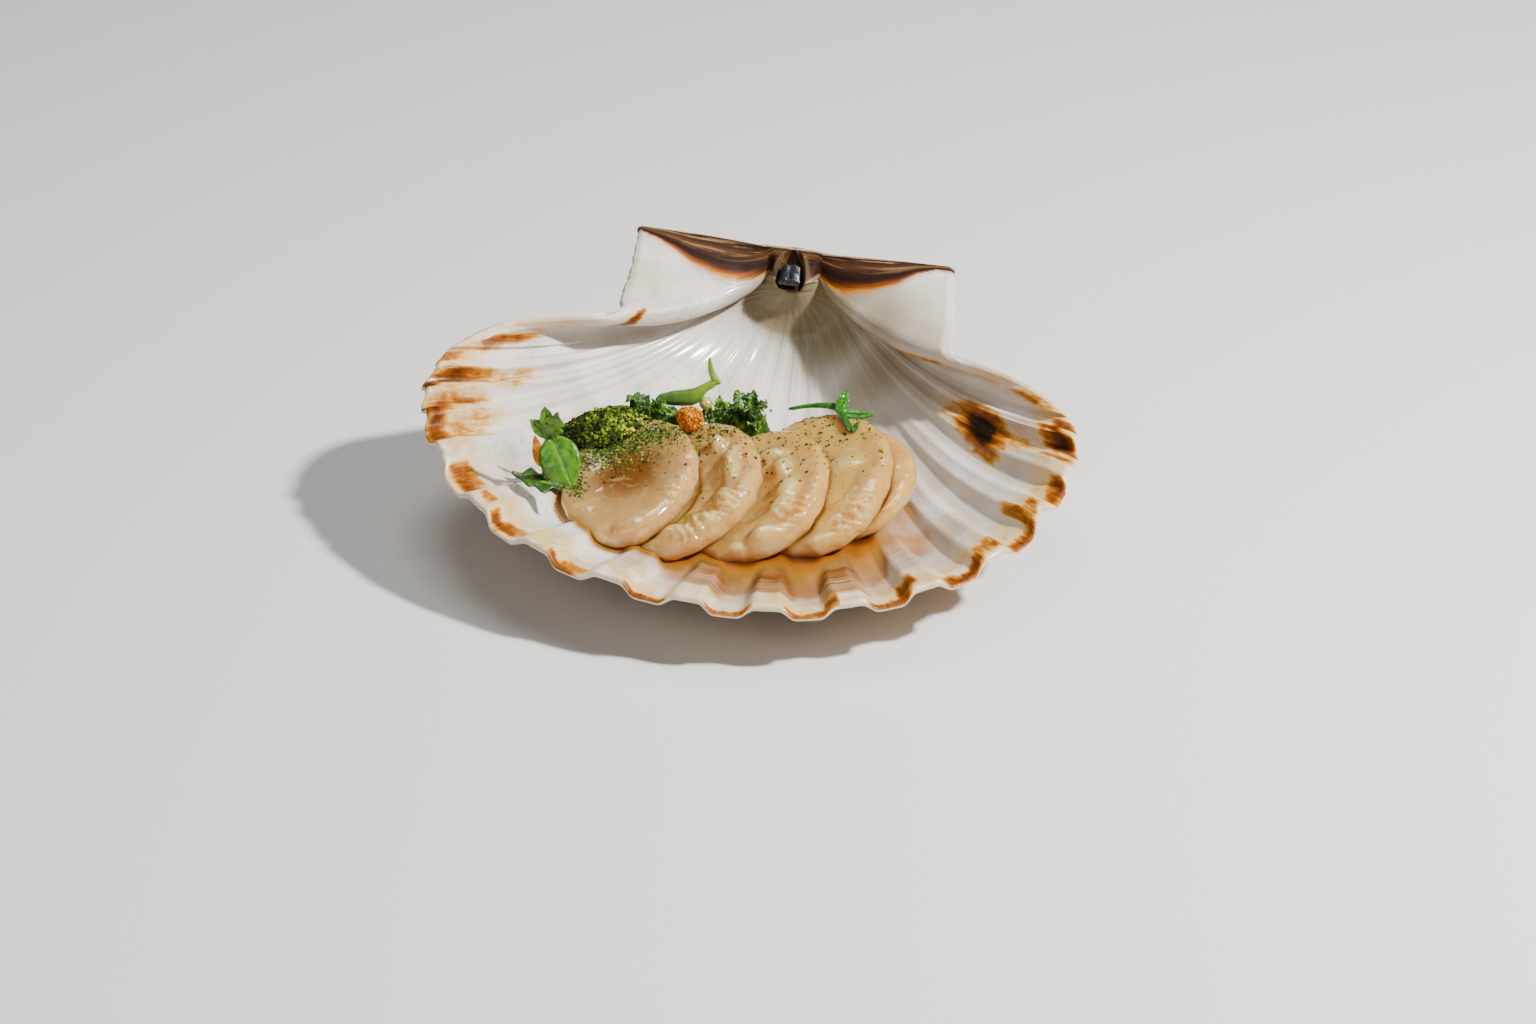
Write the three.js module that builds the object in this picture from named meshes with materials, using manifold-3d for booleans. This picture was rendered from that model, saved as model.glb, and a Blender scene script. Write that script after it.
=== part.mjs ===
// A dressed raw scallop, sliced and served in the deep half of its own shell.
// Millimetres, +Z up. The shell lies at rest at z = 0 with its hinge along X and its front margin at -Y.

import * as THREE from 'three';
import { mergeVertices } from 'three/addons/utils/BufferGeometryUtils.js';
import Module from 'manifold-3d';

const wasm = await Module();
wasm.setup();

// ---------------------------------------------------------------- driving sizes

const CLEARANCE = 0.3; // between neighbouring pieces
const RAD = Math.PI / 180;

// How the shell lies: its hinge side is raised and it rolls a little to the right.
const TILT = 11.93;
const ROLL = 3.285;
const HINGE_CENTRE = [-2.34, 45.65, 35.86];

// The shell square on, in its rim plane: a runs along the hinge, b away from it towards the front margin.
const HINGE_END = { left: [-33, 0], right: [33, 1] };
const HINGE_ARCH = 0.8; // rise of the hinge line at its middle
const EAR_EDGE = { left: [[-30.2, 15], [-30.8, 26]], right: [[34.8, 12], [35, 24]] };
const NOTCH = { left: [[-31, 30], [-35.5, 31]], right: [[35.3, 29], [39.5, 30.5]] };
const SHOULDER = { left: [[-44, 32.8], [-50, 35.6]], right: [[45, 31.6], [51, 34.6]] };
const CORNER = { left: [-59.5, 40.8], right: [60.8, 40.2] };
const DISC = { a: 0.8, b: 50, radius: 62 };
const DISC_BULGES = [ // the margin swells or flattens round these directions, degrees from straight ahead
  { at: -14, width: 36, by: -3.4 }, { at: 62, width: 22, by: 1.1 },
  { at: -75, width: 10, by: 0.9 }, { at: -83, width: 4, by: 0.9 },
];
const GROOVES = [ // middles of the grooves, degrees about the disc centre
  -91, -84, -77.8, -71, -55.5, -39.6, -24.3, -8.7, 5.4, 19.5, 33.9, 47.4, 61.8, 75.5, 86.5, 94.5,
];
const GROOVE_HALF = 0.14; // flat bottom of a groove, as a share of the pitch
const BAND_HALF = 0.36; // where the raised band between two grooves starts
const RELIEF = 0.85;
const NARROW_PITCH = 8; // below this a band needs fewer columns

// Seen from the side every line of the shell follows one logarithmic spiral round the hinge.
const SPIRAL = 1.47; // growth per radian
const WALL = 2.2;
const CAVITY_END = 1.18; // spiral angle at which the bowl ends below the hinge plate
const RIDGE_RISE = 1.0; // crest between ear and disc
const PLATE = { front: 6.9, drop: 3.7 }; // ledge below the hinge line
const WALL_HOLLOW = 1.6; // how far the wall under the ledge is hollowed
const PIT = { half: 3.2, depth: 1.8 }; // triangular pit in the ledge

const SAUCE_LEVEL = 8.0;

// ---------------------------------------------------------------- helpers

const V = (x, y, z) => new THREE.Vector3(x, y, z);
const { lerp, clamp, smoothstep } = THREE.MathUtils;
const POSE = new THREE.Matrix4()
  .makeRotationFromEuler(new THREE.Euler(TILT * RAD, ROLL * RAD, 0, 'YXZ'))
  .setPosition(...HINGE_CENTRE);

/** Repeatable random numbers in 0..1. */
function dice(seed) {
  let state = seed >>> 0;
  return () => {
    state = (Math.imul(state, 1664525) + 1013904223) >>> 0;
    return state / 4294967296;
  };
}

/** Points and triangles of one piece. */
class Body {
  constructor() {
    this.points = [];
    this.faces = [];
  }

  point(p) {
    this.points.push(p);
    return this.points.length - 1;
  }

  face(a, b, c, flip = false) {
    if (a === b || b === c || a === c) return;
    this.faces.push(flip ? [a, c, b] : [a, b, c]);
  }

  /** Triangles between two rows of { id, t } with t rising along both. */
  stitch(lower, upper, flip = false) {
    let i = 0;
    let j = 0;
    while (i < lower.length - 1 || j < upper.length - 1) {
      const stepLower = j === upper.length - 1
        || (i < lower.length - 1 && lower[i + 1].t <= upper[j + 1].t);
      if (stepLower) {
        this.face(lower[i].id, lower[i + 1].id, upper[j].id, flip);
        i += 1;
      } else {
        this.face(lower[i].id, upper[j + 1].id, upper[j].id, flip);
        j += 1;
      }
    }
  }

  /** Triangles between two closed loops of the same length. */
  band(lower, upper, flip = false) {
    const n = lower.length;
    for (let i = 0; i < n; i += 1) {
      const k = (i + 1) % n;
      this.face(lower[i], lower[k], upper[k], flip);
      this.face(lower[i], upper[k], upper[i], flip);
    }
  }

  /** Triangles from a closed loop to one point. */
  fan(loop, tip, flip = false) {
    loop.forEach((id, i) => this.face(id, loop[(i + 1) % loop.length], tip, flip));
  }

  geometry() {
    const geometry = new THREE.BufferGeometry();
    const flat = this.points.flatMap((p) => [p.x, p.y, p.z]);
    geometry.setAttribute('position', new THREE.Float32BufferAttribute(flat, 3));
    geometry.setIndex(this.faces.flat());
    return geometry;
  }

  /** As a solid, its faces turned outwards. */
  solid(matrix = null) {
    const geometry = this.geometry();
    if (matrix) geometry.applyMatrix4(matrix);
    const solid = toSolid(geometry);
    if (solid.volume() > 0) return solid;
    geometry.setIndex(this.faces.map(([a, b, c]) => [a, c, b]).flat());
    return toSolid(geometry);
  }
}

/** A closed geometry as a solid that can be cut and joined. */
function toSolid(geometry) {
  const bare = geometry.clone();
  bare.deleteAttribute('normal');
  bare.deleteAttribute('uv');
  const merged = mergeVertices(bare, 1e-4);
  return new wasm.Manifold(new wasm.Mesh({
    numProp: 3,
    vertProperties: new Float32Array(merged.attributes.position.array),
    triVerts: new Uint32Array(merged.index.array),
  }));
}

function toGeometry(solid) {
  const mesh = solid.getMesh();
  const geometry = new THREE.BufferGeometry();
  geometry.setAttribute('position', new THREE.Float32BufferAttribute(mesh.vertProperties, 3));
  geometry.setIndex(Array.from(mesh.triVerts));
  return geometry;
}

/** Everything in reach below a height. */
const slab = (top) => toSolid(new THREE.BoxGeometry(200, 200, 40).translate(0, 0, top - 20));

const largest = (solid) => solid.decompose().sort((p, q) => q.volume() - p.volume())[0];

// ---------------------------------------------------------------- outline of the shell

const bezier = (p, c, q) => (t) => [0, 1].map((k) => (
  (1 - t) ** 2 * p[k] + 2 * t * (1 - t) * c[k] + t * t * q[k]));

function discPoint(degrees) {
  const radius = DISC_BULGES.reduce(
    (sum, bulge) => sum + bulge.by * Math.exp(-(((degrees - bulge.at) / bulge.width) ** 2)), DISC.radius);
  return [DISC.a + radius * Math.sin(degrees * RAD), DISC.b + radius * Math.cos(degrees * RAD)];
}

// Outline in nine stretches, left end of the hinge round the front to its right end.
const STRETCHES = [
  bezier(HINGE_END.left, ...EAR_EDGE.left),
  bezier(EAR_EDGE.left[1], ...NOTCH.left),
  bezier(NOTCH.left[1], ...SHOULDER.left),
  bezier(SHOULDER.left[1], CORNER.left, discPoint(-90)),
  (t) => discPoint(-90 + 180 * t),
  bezier(discPoint(90), CORNER.right, SHOULDER.right[1]),
  bezier(SHOULDER.right[1], SHOULDER.right[0], NOTCH.right[1]),
  bezier(NOTCH.right[1], NOTCH.right[0], EAR_EDGE.right[1]),
  bezier(EAR_EDGE.right[1], EAR_EDGE.right[0], HINGE_END.right),
];

function outline(u) {
  const k = clamp(Math.floor(u), 0, STRETCHES.length - 1);
  return STRETCHES[k](u - k);
}

/** Direction along the outline. */
function outlineHeading(u) {
  const step = 0.004;
  const here = outline(u);
  const sum = [0, 0];
  [[u - step, -1], [u + step, 1]].forEach(([v, sign]) => {
    if (v < 0 || v > STRETCHES.length) return;
    const there = outline(v);
    const d = [sign * (there[0] - here[0]), sign * (there[1] - here[1])];
    const length = Math.hypot(...d);
    sum[0] += d[0] / length;
    sum[1] += d[1] / length;
  });
  return sum;
}

/** 1 along the bottom of a groove, -1 on the flat top of a band. */
function grooveWave([a, b]) {
  const degrees = Math.atan2(a - DISC.a, b - DISC.b) / RAD;
  const last = GROOVES.length - 1;
  if (degrees < GROOVES[0] - 3 || degrees > GROOVES[last] + 3) return 0;
  let share = 0.5;
  if (degrees >= GROOVES[0] && degrees <= GROOVES[last]) {
    let i = 0;
    while (i < last - 1 && degrees > GROOVES[i + 1]) i += 1;
    share = (degrees - GROOVES[i]) / (GROOVES[i + 1] - GROOVES[i]);
  }
  const off = Math.abs(share - Math.round(share));
  return Math.sin((Math.PI / 2) * (1 - 2 * clamp((off - GROOVE_HALF) / (BAND_HALF - GROOVE_HALF), 0, 1)));
}

/** Columns of the shell's mesh: where they meet the outline, and whether the narrow part keeps them. */
function shellColumns() {
  const columns = [];
  const add = (u, coarse) => columns.push({ u, coarse: Boolean(coarse) });
  const ear = [0, 0.17, 0.33, 0.5, 0.67, 0.83, 1];
  ear.forEach((t, i) => add(t, i % 2 === 0));
  [[1.5, 1], [2, 0], [2.33, 1], [2.66, 0], [3, 1], [3.35, 0], [3.7, 1]].forEach(([u, c]) => add(u, c));
  GROOVES.slice(0, -1).forEach((from, i) => {
    const pitch = GROOVES[i + 1] - from;
    const wide = pitch > NARROW_PITCH + 2;
    const shares = wide ? [0, GROOVE_HALF, BAND_HALF, 0.5, 1 - BAND_HALF, 1 - GROOVE_HALF]
      : [GROOVE_HALF, BAND_HALF, 1 - BAND_HALF, 1 - GROOVE_HALF];
    shares.forEach((share) => {
      const degrees = from + share * pitch;
      if (Math.abs(degrees) < 89.5) add(4.5 + degrees / 180, wide ? share % 0.5 === 0 : share < 0.2);
    });
  });
  [[5, 1], [5.3, 0], [5.65, 1], [6, 0], [6.5, 1], [7, 0], [7.5, 1]].forEach(([u, c]) => add(u, c));
  ear.forEach((t, i) => add(8 + t, i % 2 === 0));
  return columns;
}

// ---------------------------------------------------------------- surfaces of the shell

/** Middle surface and unit normal (into the bowl), in the rim plane's own frame. */
function swept(u, turn) {
  const [a, b] = outline(u);
  const [da, db] = outlineHeading(u);
  const scale = Math.exp(-SPIRAL * turn);
  const c = Math.cos(turn);
  const s = Math.sin(turn);
  const point = V(scale * a, -scale * b * c, -scale * b * s);
  const across = V(da, -db * c, -db * s);
  const along = V(-SPIRAL * a, b * (s + SPIRAL * c), -b * (c - SPIRAL * s));
  const normal = across.cross(along).normalize();
  point.z += HINGE_ARCH * Math.max(0, 1 - (a / 33) ** 2) * Math.max(0, 1 + point.y / 25) * (b < 32 ? 1 : 0);
  return { point, normal, scale, wave: grooveWave([a, b]) };
}

function ridgeRise(u, scale) {
  const fromNotch = Math.min(Math.abs(u - 1.5), Math.abs(u - 7.5));
  return RIDGE_RISE * smoothstep(1 - scale, 0, 0.35) * smoothstep(scale, 0.1, 0.3)
    * Math.exp(-((fromNotch / 0.7) ** 2));
}

function innerPoint(u, turn, lift = 0) {
  const { point, normal, scale, wave } = swept(u, turn);
  const depth = wave * RELIEF * scale ** 0.8 * lerp(0.25, 1, smoothstep(scale, 0.3, 0.8));
  const half = (WALL / 2) * smoothstep(scale, -0.15, 0.3);
  return point.addScaledVector(normal, half - depth + ridgeRise(u, scale) + lift);
}

function outerPoint(u, turn) {
  const { point, normal, scale, wave } = swept(u, turn);
  const half = (WALL / 2) * smoothstep(scale, -0.05, 0.25);
  return point.addScaledVector(normal, -half - wave * RELIEF * scale ** 0.8);
}

const INNER_TURNS = [0, 0.07, 0.14, 0.21, 0.29, 0.38, 0.48, 0.59, 0.71, 0.84, 0.96, 1.08, CAVITY_END];
const OUTER_TURNS = [
  0, 0.07, 0.14, 0.21, 0.29, 0.38, 0.48, 0.59, 0.71, 0.84, 0.98, 1.14, 1.32, 1.55, 1.85, 2.2, 2.6,
];
const COARSE_FROM = 0.7; // spiral angle past which every other column goes

function shellBody() {
  const body = new Body();
  const columns = shellColumns();
  const last = STRETCHES.length;
  const row = (turn, at) => columns
    .filter((column) => turn < COARSE_FROM || column.coarse)
    .map(({ u }) => ({ id: body.point(at(u, turn)), t: u }));
  const inner = INNER_TURNS.map((turn) => row(turn, innerPoint));
  const outer = OUTER_TURNS.map((turn) => row(turn, outerPoint));
  for (let i = 0; i < inner.length - 1; i += 1) body.stitch(inner[i], inner[i + 1]);
  for (let i = 0; i < outer.length - 1; i += 1) body.stitch(outer[i], outer[i + 1], true);
  body.stitch(outer[0], inner[0]); // the rim

  // The beak closes on one point behind the hinge.
  const pole = body.point(V(0, 0.6, -0.5));
  const tail = outer[outer.length - 1];
  for (let i = 0; i < tail.length - 1; i += 1) body.face(tail[i].id, tail[i + 1].id, pole, true);

  // Ledge under the hinge: rows from the hinge line to its front edge, then the wall down to the bowl.
  const edge = inner[inner.length - 1];
  const left = edge.filter(({ t }) => t <= 1.5);
  const right = edge.filter(({ t }) => t >= 7.5).reverse();
  const middle = edge.filter(({ t }) => t >= 1.5 && t <= 7.5);
  const across = [0.12, 0.26, 0.4, 0.5, 0.6, 0.74, 0.88];
  const ledge = left.map((start, i) => {
    const end = right[i];
    const down = i / (left.length - 1);
    const p = body.points[start.id];
    const q = body.points[end.id];
    const inside = across.map((share) => {
      const x = lerp(p.x, q.x, share);
      const bow = Math.sqrt(Math.max(0, 1 - (2 * share - 1) ** 2));
      const front = lerp(lerp(-p.y, -q.y, share), PLATE.front, down * bow);
      const point = ledgePoint(x, down, front);
      return { id: body.point(point), t: share };
    });
    return [{ id: start.id, t: 0 }, ...inside, { id: end.id, t: 1 }];
  });
  for (let i = 0; i < ledge.length - 1; i += 1) body.stitch(ledge[i + 1], ledge[i]);
  const front = ledge[ledge.length - 1].map(({ id, t }) => ({ id, t: lerp(1.5, 7.5, t) }));
  const wall = middle.map(({ id, t }) => {
    const low = body.points[id];
    const share = clamp((t - 1.5) / 6, 0, 1);
    const near = front.reduce((best, f) => (Math.abs(f.t - t) < Math.abs(best.t - t) ? f : best));
    const point = low.clone().lerp(body.points[near.id], 0.45);
    const bulge = Math.sin(Math.PI * share);
    return { id: body.point(point.add(V(0, WALL_HOLLOW * bulge, -0.4 * WALL_HOLLOW * bulge))), t };
  });
  wall[0] = middle[0];
  wall[wall.length - 1] = middle[middle.length - 1];
  body.stitch(middle, wall);
  body.stitch(wall, front);

  // The back of the hinge, from the left ear's tip to the right one's.
  const byX = (ids) => ids.map((id) => ({ id, t: body.points[id].x }));
  const first = (rows) => rows.map((r) => r[0].id);
  const final = (rows) => rows.map((r) => r[r.length - 1].id).reverse();
  const upper = byX([...first(inner), ...ledge[0].slice(1, -1).map(({ id }) => id), ...final(inner)]);
  const lower = byX([...first(outer), pole, ...final(outer)]);
  body.stitch(upper, lower);
  return body;
}

/** Everything above the bowl's surface, for cutting what lies in it. */
function cavityBody() {
  const body = new Body();
  const columns = shellColumns();
  const turns = INNER_TURNS.filter((turn) => turn < 0.98);
  const lid = 120;
  const low = turns.map((turn) => columns.map(({ u }) => {
    const point = innerPoint(u, turn, CLEARANCE).applyMatrix4(POSE);
    return { id: body.point(point), t: u };
  }));
  const high = low.map((r) => r.map(({ id, t }) => {
    const { x, y } = body.points[id];
    return { id: body.point(V(x, y, lid)), t };
  }));
  for (let i = 0; i < turns.length - 1; i += 1) {
    body.stitch(low[i], low[i + 1], true);
    body.stitch(high[i], high[i + 1]);
  }
  body.stitch(low[0], high[0]);
  body.stitch(low[turns.length - 1], high[turns.length - 1], true);
  const side = (k) => [low.map((r) => r.at(k)), high.map((r) => r.at(k))]
    .map((r) => r.map(({ id }, i) => ({ id, t: i })));
  const [leftLow, leftHigh] = side(0);
  const [rightLow, rightHigh] = side(-1);
  body.stitch(leftLow, leftHigh, true);
  body.stitch(rightLow, rightHigh);
  return body;
}

// ---------------------------------------------------------------- scallop slices

// Thick oval slices, shingled from left to right: each leans back and its right side rides on the next.
// Sizes are width, length and thickness; turns are lean, roll and spin in degrees.
const SLICES = [
  { name: 'slice_1', at: [-23.2, -22.6, 18.0], size: [27.4, 33, 5.2], turn: [15, 12, 4], dish: -0.8 },
  { name: 'slice_2', at: [-13.0, -20.6, 16.1], size: [30.5, 37.5, 5], turn: [13, 17, 4], dish: 1 },
  { name: 'slice_3', at: [-0.3, -19.0, 14.8], size: [30.5, 37, 5], turn: [13, 19, 3], dish: 0.3 },
  { name: 'slice_4', at: [10.0, -12.4, 15.0], size: [31.5, 42.5, 4.8], turn: [13, 18, 12], dish: -0.4 },
  { name: 'slice_5', at: [16.0, -7.8, 13.2], size: [27, 35.5, 4.2], turn: [11, 18, 15], dish: 0 },
];
const SLICE_SECTORS = 20;
const SLICE_RINGS = [0.36, 0.66, 0.88]; // of the radius, on the cut face
const SLICE_EDGE = [[0.965, -0.1], [1, -0.38], [0.985, -0.72], [0.92, -0.95]]; // radius, depth in thicknesses

/** Outline of a slice: its radius as a share of the plain oval's. */
function sliceRadius(slice, angle) {
  const seed = slice.name.charCodeAt(6);
  return 1 + 0.022 * Math.sin(2 * angle + seed) + 0.02 * Math.sin(3 * angle + 2.3 * seed)
    + 0.012 * Math.sin(5 * angle + 1.7 * seed);
}

function sliceSolid(slice, grow) {
  const body = new Body();
  const [width, length, depth] = slice.size;
  const [lean, roll, spin] = slice.turn;
  const place = new THREE.Matrix4()
    .makeRotationFromEuler(new THREE.Euler(lean * RAD, -roll * RAD, spin * RAD, 'XYZ'))
    .setPosition(...slice.at);
  const at = (share, angle, z) => {
    const reach = share * sliceRadius(slice, angle);
    const x = reach * (width / 2 + grow) * Math.cos(angle);
    const y = reach * (length / 2 + grow) * Math.sin(angle);
    return body.point(V(x, y, z).applyMatrix4(place));
  };
  const ring = (share, z) => Array.from({ length: SLICE_SECTORS }, (_, i) => (
    at(share, (i / SLICE_SECTORS) * 2 * Math.PI, z)));
  const face = (share) => slice.dish * (share * share - 0.5) * (1 - share ** 8) + grow;
  const thick = depth + grow;
  const rings = [
    ...SLICE_RINGS.map((share) => ring(share, face(share))),
    ...SLICE_EDGE.map(([share, down]) => ring(share, down * thick + (down > -0.2 ? grow : 0))),
    ring(0.5, -thick),
  ];
  body.fan(rings[0], at(0, 0, face(0)));
  for (let i = 0; i < rings.length - 1; i += 1) body.band(rings[i + 1], rings[i]);
  body.fan(rings.at(-1), at(0, 0, -thick), true);
  return body.solid();
}

// ---------------------------------------------------------------- garnish

/** A round stalk along a smooth line through points, with a radius at each. */
function stalk({ points, radii, sides = 7, steps = 6 }, grow) {
  const body = new Body();
  const line = new THREE.CatmullRomCurve3(points.map((p) => V(...p)));
  const frames = line.computeFrenetFrames(steps, false);
  const rings = [];
  for (let i = 0; i <= steps; i += 1) {
    const along = (i / steps) * (radii.length - 1);
    const k = Math.min(Math.floor(along), radii.length - 2);
    const radius = lerp(radii[k], radii[k + 1], along - k) + grow;
    const centre = line.getPointAt(i / steps);
    rings.push(Array.from({ length: sides }, (_, j) => {
      const turn = (j / sides) * 2 * Math.PI;
      return body.point(centre.clone()
        .addScaledVector(frames.normals[i], radius * Math.cos(turn))
        .addScaledVector(frames.binormals[i], radius * Math.sin(turn)));
    }));
  }
  for (let i = 0; i < steps; i += 1) body.band(rings[i], rings[i + 1]);
  body.fan(rings[0], body.point(line.getPointAt(0)), true);
  body.fan(rings[steps], body.point(line.getPointAt(1)));
  return body.solid();
}

/**
 * A thin leaf from base to tip, its upper face towards `up`. `shape` gives the half width along it as a share
 * of the widest, `bow` lifts its middle, `cup` raises its sides and `wave` ripples them.
 */
function leaf({
  base, tip, up, half, shape, bow = 0, cup = 0, wave = 0, ripples = 2, thick = 0.45, rows = 10, cells = 4,
}, grow) {
  const body = new Body();
  const from = V(...base);
  const run = V(...tip).sub(from);
  const side = run.clone().cross(V(...up)).normalize();
  const lift = side.clone().cross(run).normalize();
  const sheets = [0.5, -0.5].map((layer) => Array.from({ length: rows + 1 }, (_, i) => {
    const along = i / rows;
    const reach = half * Math.max(0.12, shape(along));
    return Array.from({ length: cells + 1 }, (_, j) => {
      const t = (2 * j) / cells - 1;
      const height = bow * Math.sin(Math.PI * along) + cup * t * t * reach
        + wave * Math.abs(t) * Math.sin(ripples * 2 * Math.PI * along + (t > 0 ? 0.8 : 0));
      return body.point(from.clone().addScaledVector(run, along).addScaledVector(side, t * (reach + grow))
        .addScaledVector(lift, height + layer * (thick + 2 * grow)));
    });
  }));
  const [top, under] = sheets;
  for (let i = 0; i < rows; i += 1) {
    for (let j = 0; j < cells; j += 1) {
      [[top, false], [under, true]].forEach(([sheet, flip]) => {
        body.face(sheet[i][j], sheet[i + 1][j], sheet[i + 1][j + 1], !flip);
        body.face(sheet[i][j], sheet[i + 1][j + 1], sheet[i][j + 1], !flip);
      });
    }
  }
  const rim = (sheet) => [
    ...sheet[0], ...sheet.slice(1).map((r) => r.at(-1)),
    ...sheet.at(-1).slice(0, -1).reverse(), ...sheet.slice(1, -1).map((r) => r[0]).reverse(),
  ];
  body.band(rim(top), rim(under), true);
  return body.solid();
}

const OVAL = (t) => Math.sin(Math.PI * t ** 0.8) ** 0.75;
const LANCE = (t) => Math.sin(Math.PI * Math.min(1, 0.08 + 0.92 * t)) ** 0.8;
const LOBED = (t) => (
  (0.35 + 0.65 * Math.sin(Math.PI * t)) * (0.75 + 0.25 * Math.cos(6 * Math.PI * t)) * (1 - t ** 6));

function plain(geometry) {
  geometry.deleteAttribute('normal');
  geometry.deleteAttribute('uv');
  return geometry;
}

/** A ball with lumps all over: a heap of crumbs that may slope, or a crumbly ball. */
function lumpy({ at, size, slope = 0, lumps, height, seed, detail }, grow) {
  const ball = mergeVertices(plain(new THREE.IcosahedronGeometry(1, detail)), 1e-4);
  const roll = dice(seed);
  const bumps = Array.from({ length: lumps }, () => {
    const z = 2 * roll() - 1;
    const turn = 2 * Math.PI * roll();
    const flat = Math.sqrt(1 - z * z);
    return { way: V(flat * Math.cos(turn), flat * Math.sin(turn), z), rise: height * (0.4 + 0.6 * roll()) };
  });
  const sharp = lumps * 0.55;
  const places = ball.attributes.position;
  for (let i = 0; i < places.count; i += 1) {
    const way = V(places.getX(i), places.getY(i), places.getZ(i)).normalize();
    const rise = grow + bumps.reduce((most, bump) => (
      Math.max(most, bump.rise * Math.exp(-sharp * (1 - way.dot(bump.way))))), 0);
    places.setXYZ(i, at[0] + way.x * (size[0] + rise), at[1] + way.y * (size[1] + rise),
      at[2] + way.z * (size[2] + rise) + slope * way.x * size[0]);
  }
  return toSolid(ball);
}

const joined = (parts) => parts.reduce((sum, part) => sum.add(part));

/** A curly tuft: frilled leaves fanned over a crumpled foot that stands in the bowl behind the slices. */
function tuft({ at, foot, reach, leaves, seed }, grow) {
  const roll = dice(seed);
  const parts = [lumpy({ ...foot, lumps: 12, height: 0.9, seed, detail: 2 }, grow)];
  for (let i = 0; i < leaves; i += 1) {
    const turn = ((i + 0.3 * roll()) / leaves) * 2 * Math.PI;
    const out = V(Math.cos(turn), Math.sin(turn), 0).multiplyScalar(reach * (0.8 + 0.3 * roll()));
    const tip = [at[0] + out.x, at[1] + out.y, at[2] + 0.6 + reach * (0.2 + 0.5 * roll())];
    parts.push(leaf({
      base: at, tip, up: [-out.x, -out.y, reach], half: reach * 0.55, shape: LANCE, bow: 0.5,
      cup: 0.1, wave: 0.8, ripples: 1.6, thick: 0.7, rows: 4,
    }, grow));
  }
  return joined(parts);
}

const VIEWER = [0.15, -0.87, 0.47]; // the upright leaves face this way

const HERB = {
  stem: {
    points: [[-38.8, -22.5, 15.2], [-37.7, -26, 21.5], [-36, -29.3, 28.4]], radii: [0.8, 0.7, 0.6], steps: 4,
    sides: 6,
  },
  leaves: [
    {
      base: [-36, -29.4, 28], tip: [-31, -33.7, 20], up: VIEWER, half: 3.8, shape: OVAL, bow: 0.8, cup: -0.12,
      thick: 0.5, rows: 8,
    },
    {
      base: [-36, -29.4, 27.6], tip: [-34, -31, 34], up: VIEWER, half: 2.2, shape: LOBED, wave: 0.3,
      thick: 0.5, rows: 7,
    },
    {
      base: [-36, -29.2, 27.8], tip: [-39.3, -30.6, 31.8], up: VIEWER, half: 1.4, shape: LANCE, thick: 0.5,
      rows: 6,
    },
  ],
};
const PETAL = {
  base: [-40.1, -20.5, 17], tip: [-40.3, -23.6, 25], up: VIEWER, half: 1.1, shape: OVAL, bow: 0.4, rows: 6,
};
const LYING_LEAF = {
  base: [-35.4, -23.4, 14.3], tip: [-44.6, -25.2, 17.6], up: [0.32, -0.1, 0.94], half: 3.4, shape: LOBED,
  wave: 0.3, thick: 0.6, rows: 8,
};
const MOUND = {
  at: [-30.4, -7.8, 16.0], size: [10.6, 8, 6.8], slope: 0.2, lumps: 40, height: 1, seed: 7, detail: 4,
};
const KALE = {
  left: {
    at: [-23.2, -3.0, 21.6], reach: 4.4, leaves: 4, seed: 3,
    foot: { at: [-20.6, -1.0, 15.2], size: [5.8, 4, 7] },
  },
  right: {
    at: [-4.5, 2.6, 19.4], reach: 4.3, leaves: 4, seed: 5,
    foot: { at: [-6.4, 4.2, 12.8], size: [6.6, 4, 7.2] },
  },
};
const SPROUT = {
  stem: {
    points: [[-22, 0.2, 22.6], [-18.6, 0.5, 22.9], [-15, 1, 23.3], [-12.7, 1.9, 24.9], [-10.4, 2.6, 26.2]],
    radii: [0.8, 1.5, 1.7, 0.9, 0.75], steps: 8,
  },
  blade: { points: [[-10.6, 2.6, 26.1], [-11.6, 3.1, 28], [-12, 3.2, 31]], radii: [0.8, 0.6, 0.3] },
  spur: { points: [[-10.8, 2.5, 26.1], [-9.6, 2.4, 26.0]], radii: [0.7, 0.35], steps: 2 },
};
const BEAD = { at: [-12.1, 0.0, 22.6], size: [1.4, 1.4, 1.3], lumps: 5, height: 0.1, seed: 2, detail: 1 };
const CRUMB_BALL = {
  at: [-14.3, -4.9, 21.6], size: [2.4, 2.3, 2.2], lumps: 22, height: 0.6, seed: 11, detail: 3,
};
const SPRIG = {
  stalks: [
    {
      points: [[3.1, 4.6, 20.4], [7.8, 5.9, 20.9], [12, 6.2, 20.8], [14.4, 2.2, 20.4], [16.3, -1.8, 20]],
      radii: [0.35, 0.4, 0.55, 0.5, 0.45], steps: 9, sides: 5,
    },
    {
      points: [[16.2, -1.8, 20], [17, -1, 20.1], [17.5, 1.4, 20.6]], radii: [0.45, 0.5, 0.25], steps: 3,
      sides: 5,
    },
  ],
  leaves: [
    {
      base: [13.1, 4.6, 20.5], tip: [14.2, 7.6, 23.6], up: VIEWER, half: 1, shape: LANCE, thick: 0.5,
      rows: 5,
    },
    {
      base: [13.6, 4.2, 20.5], tip: [20, 3.8, 20.8], up: [0, -0.3, 1], half: 0.8, shape: LANCE, thick: 0.5,
      rows: 6,
    },
  ],
};

// The dark pad in the pit of the ledge, in the rim plane's frame.
const LIGAMENT = { from: 0.46, to: 0.95, half: 2.25, taper: 0.85, rise: 1.5, above: 0.6 };

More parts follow.
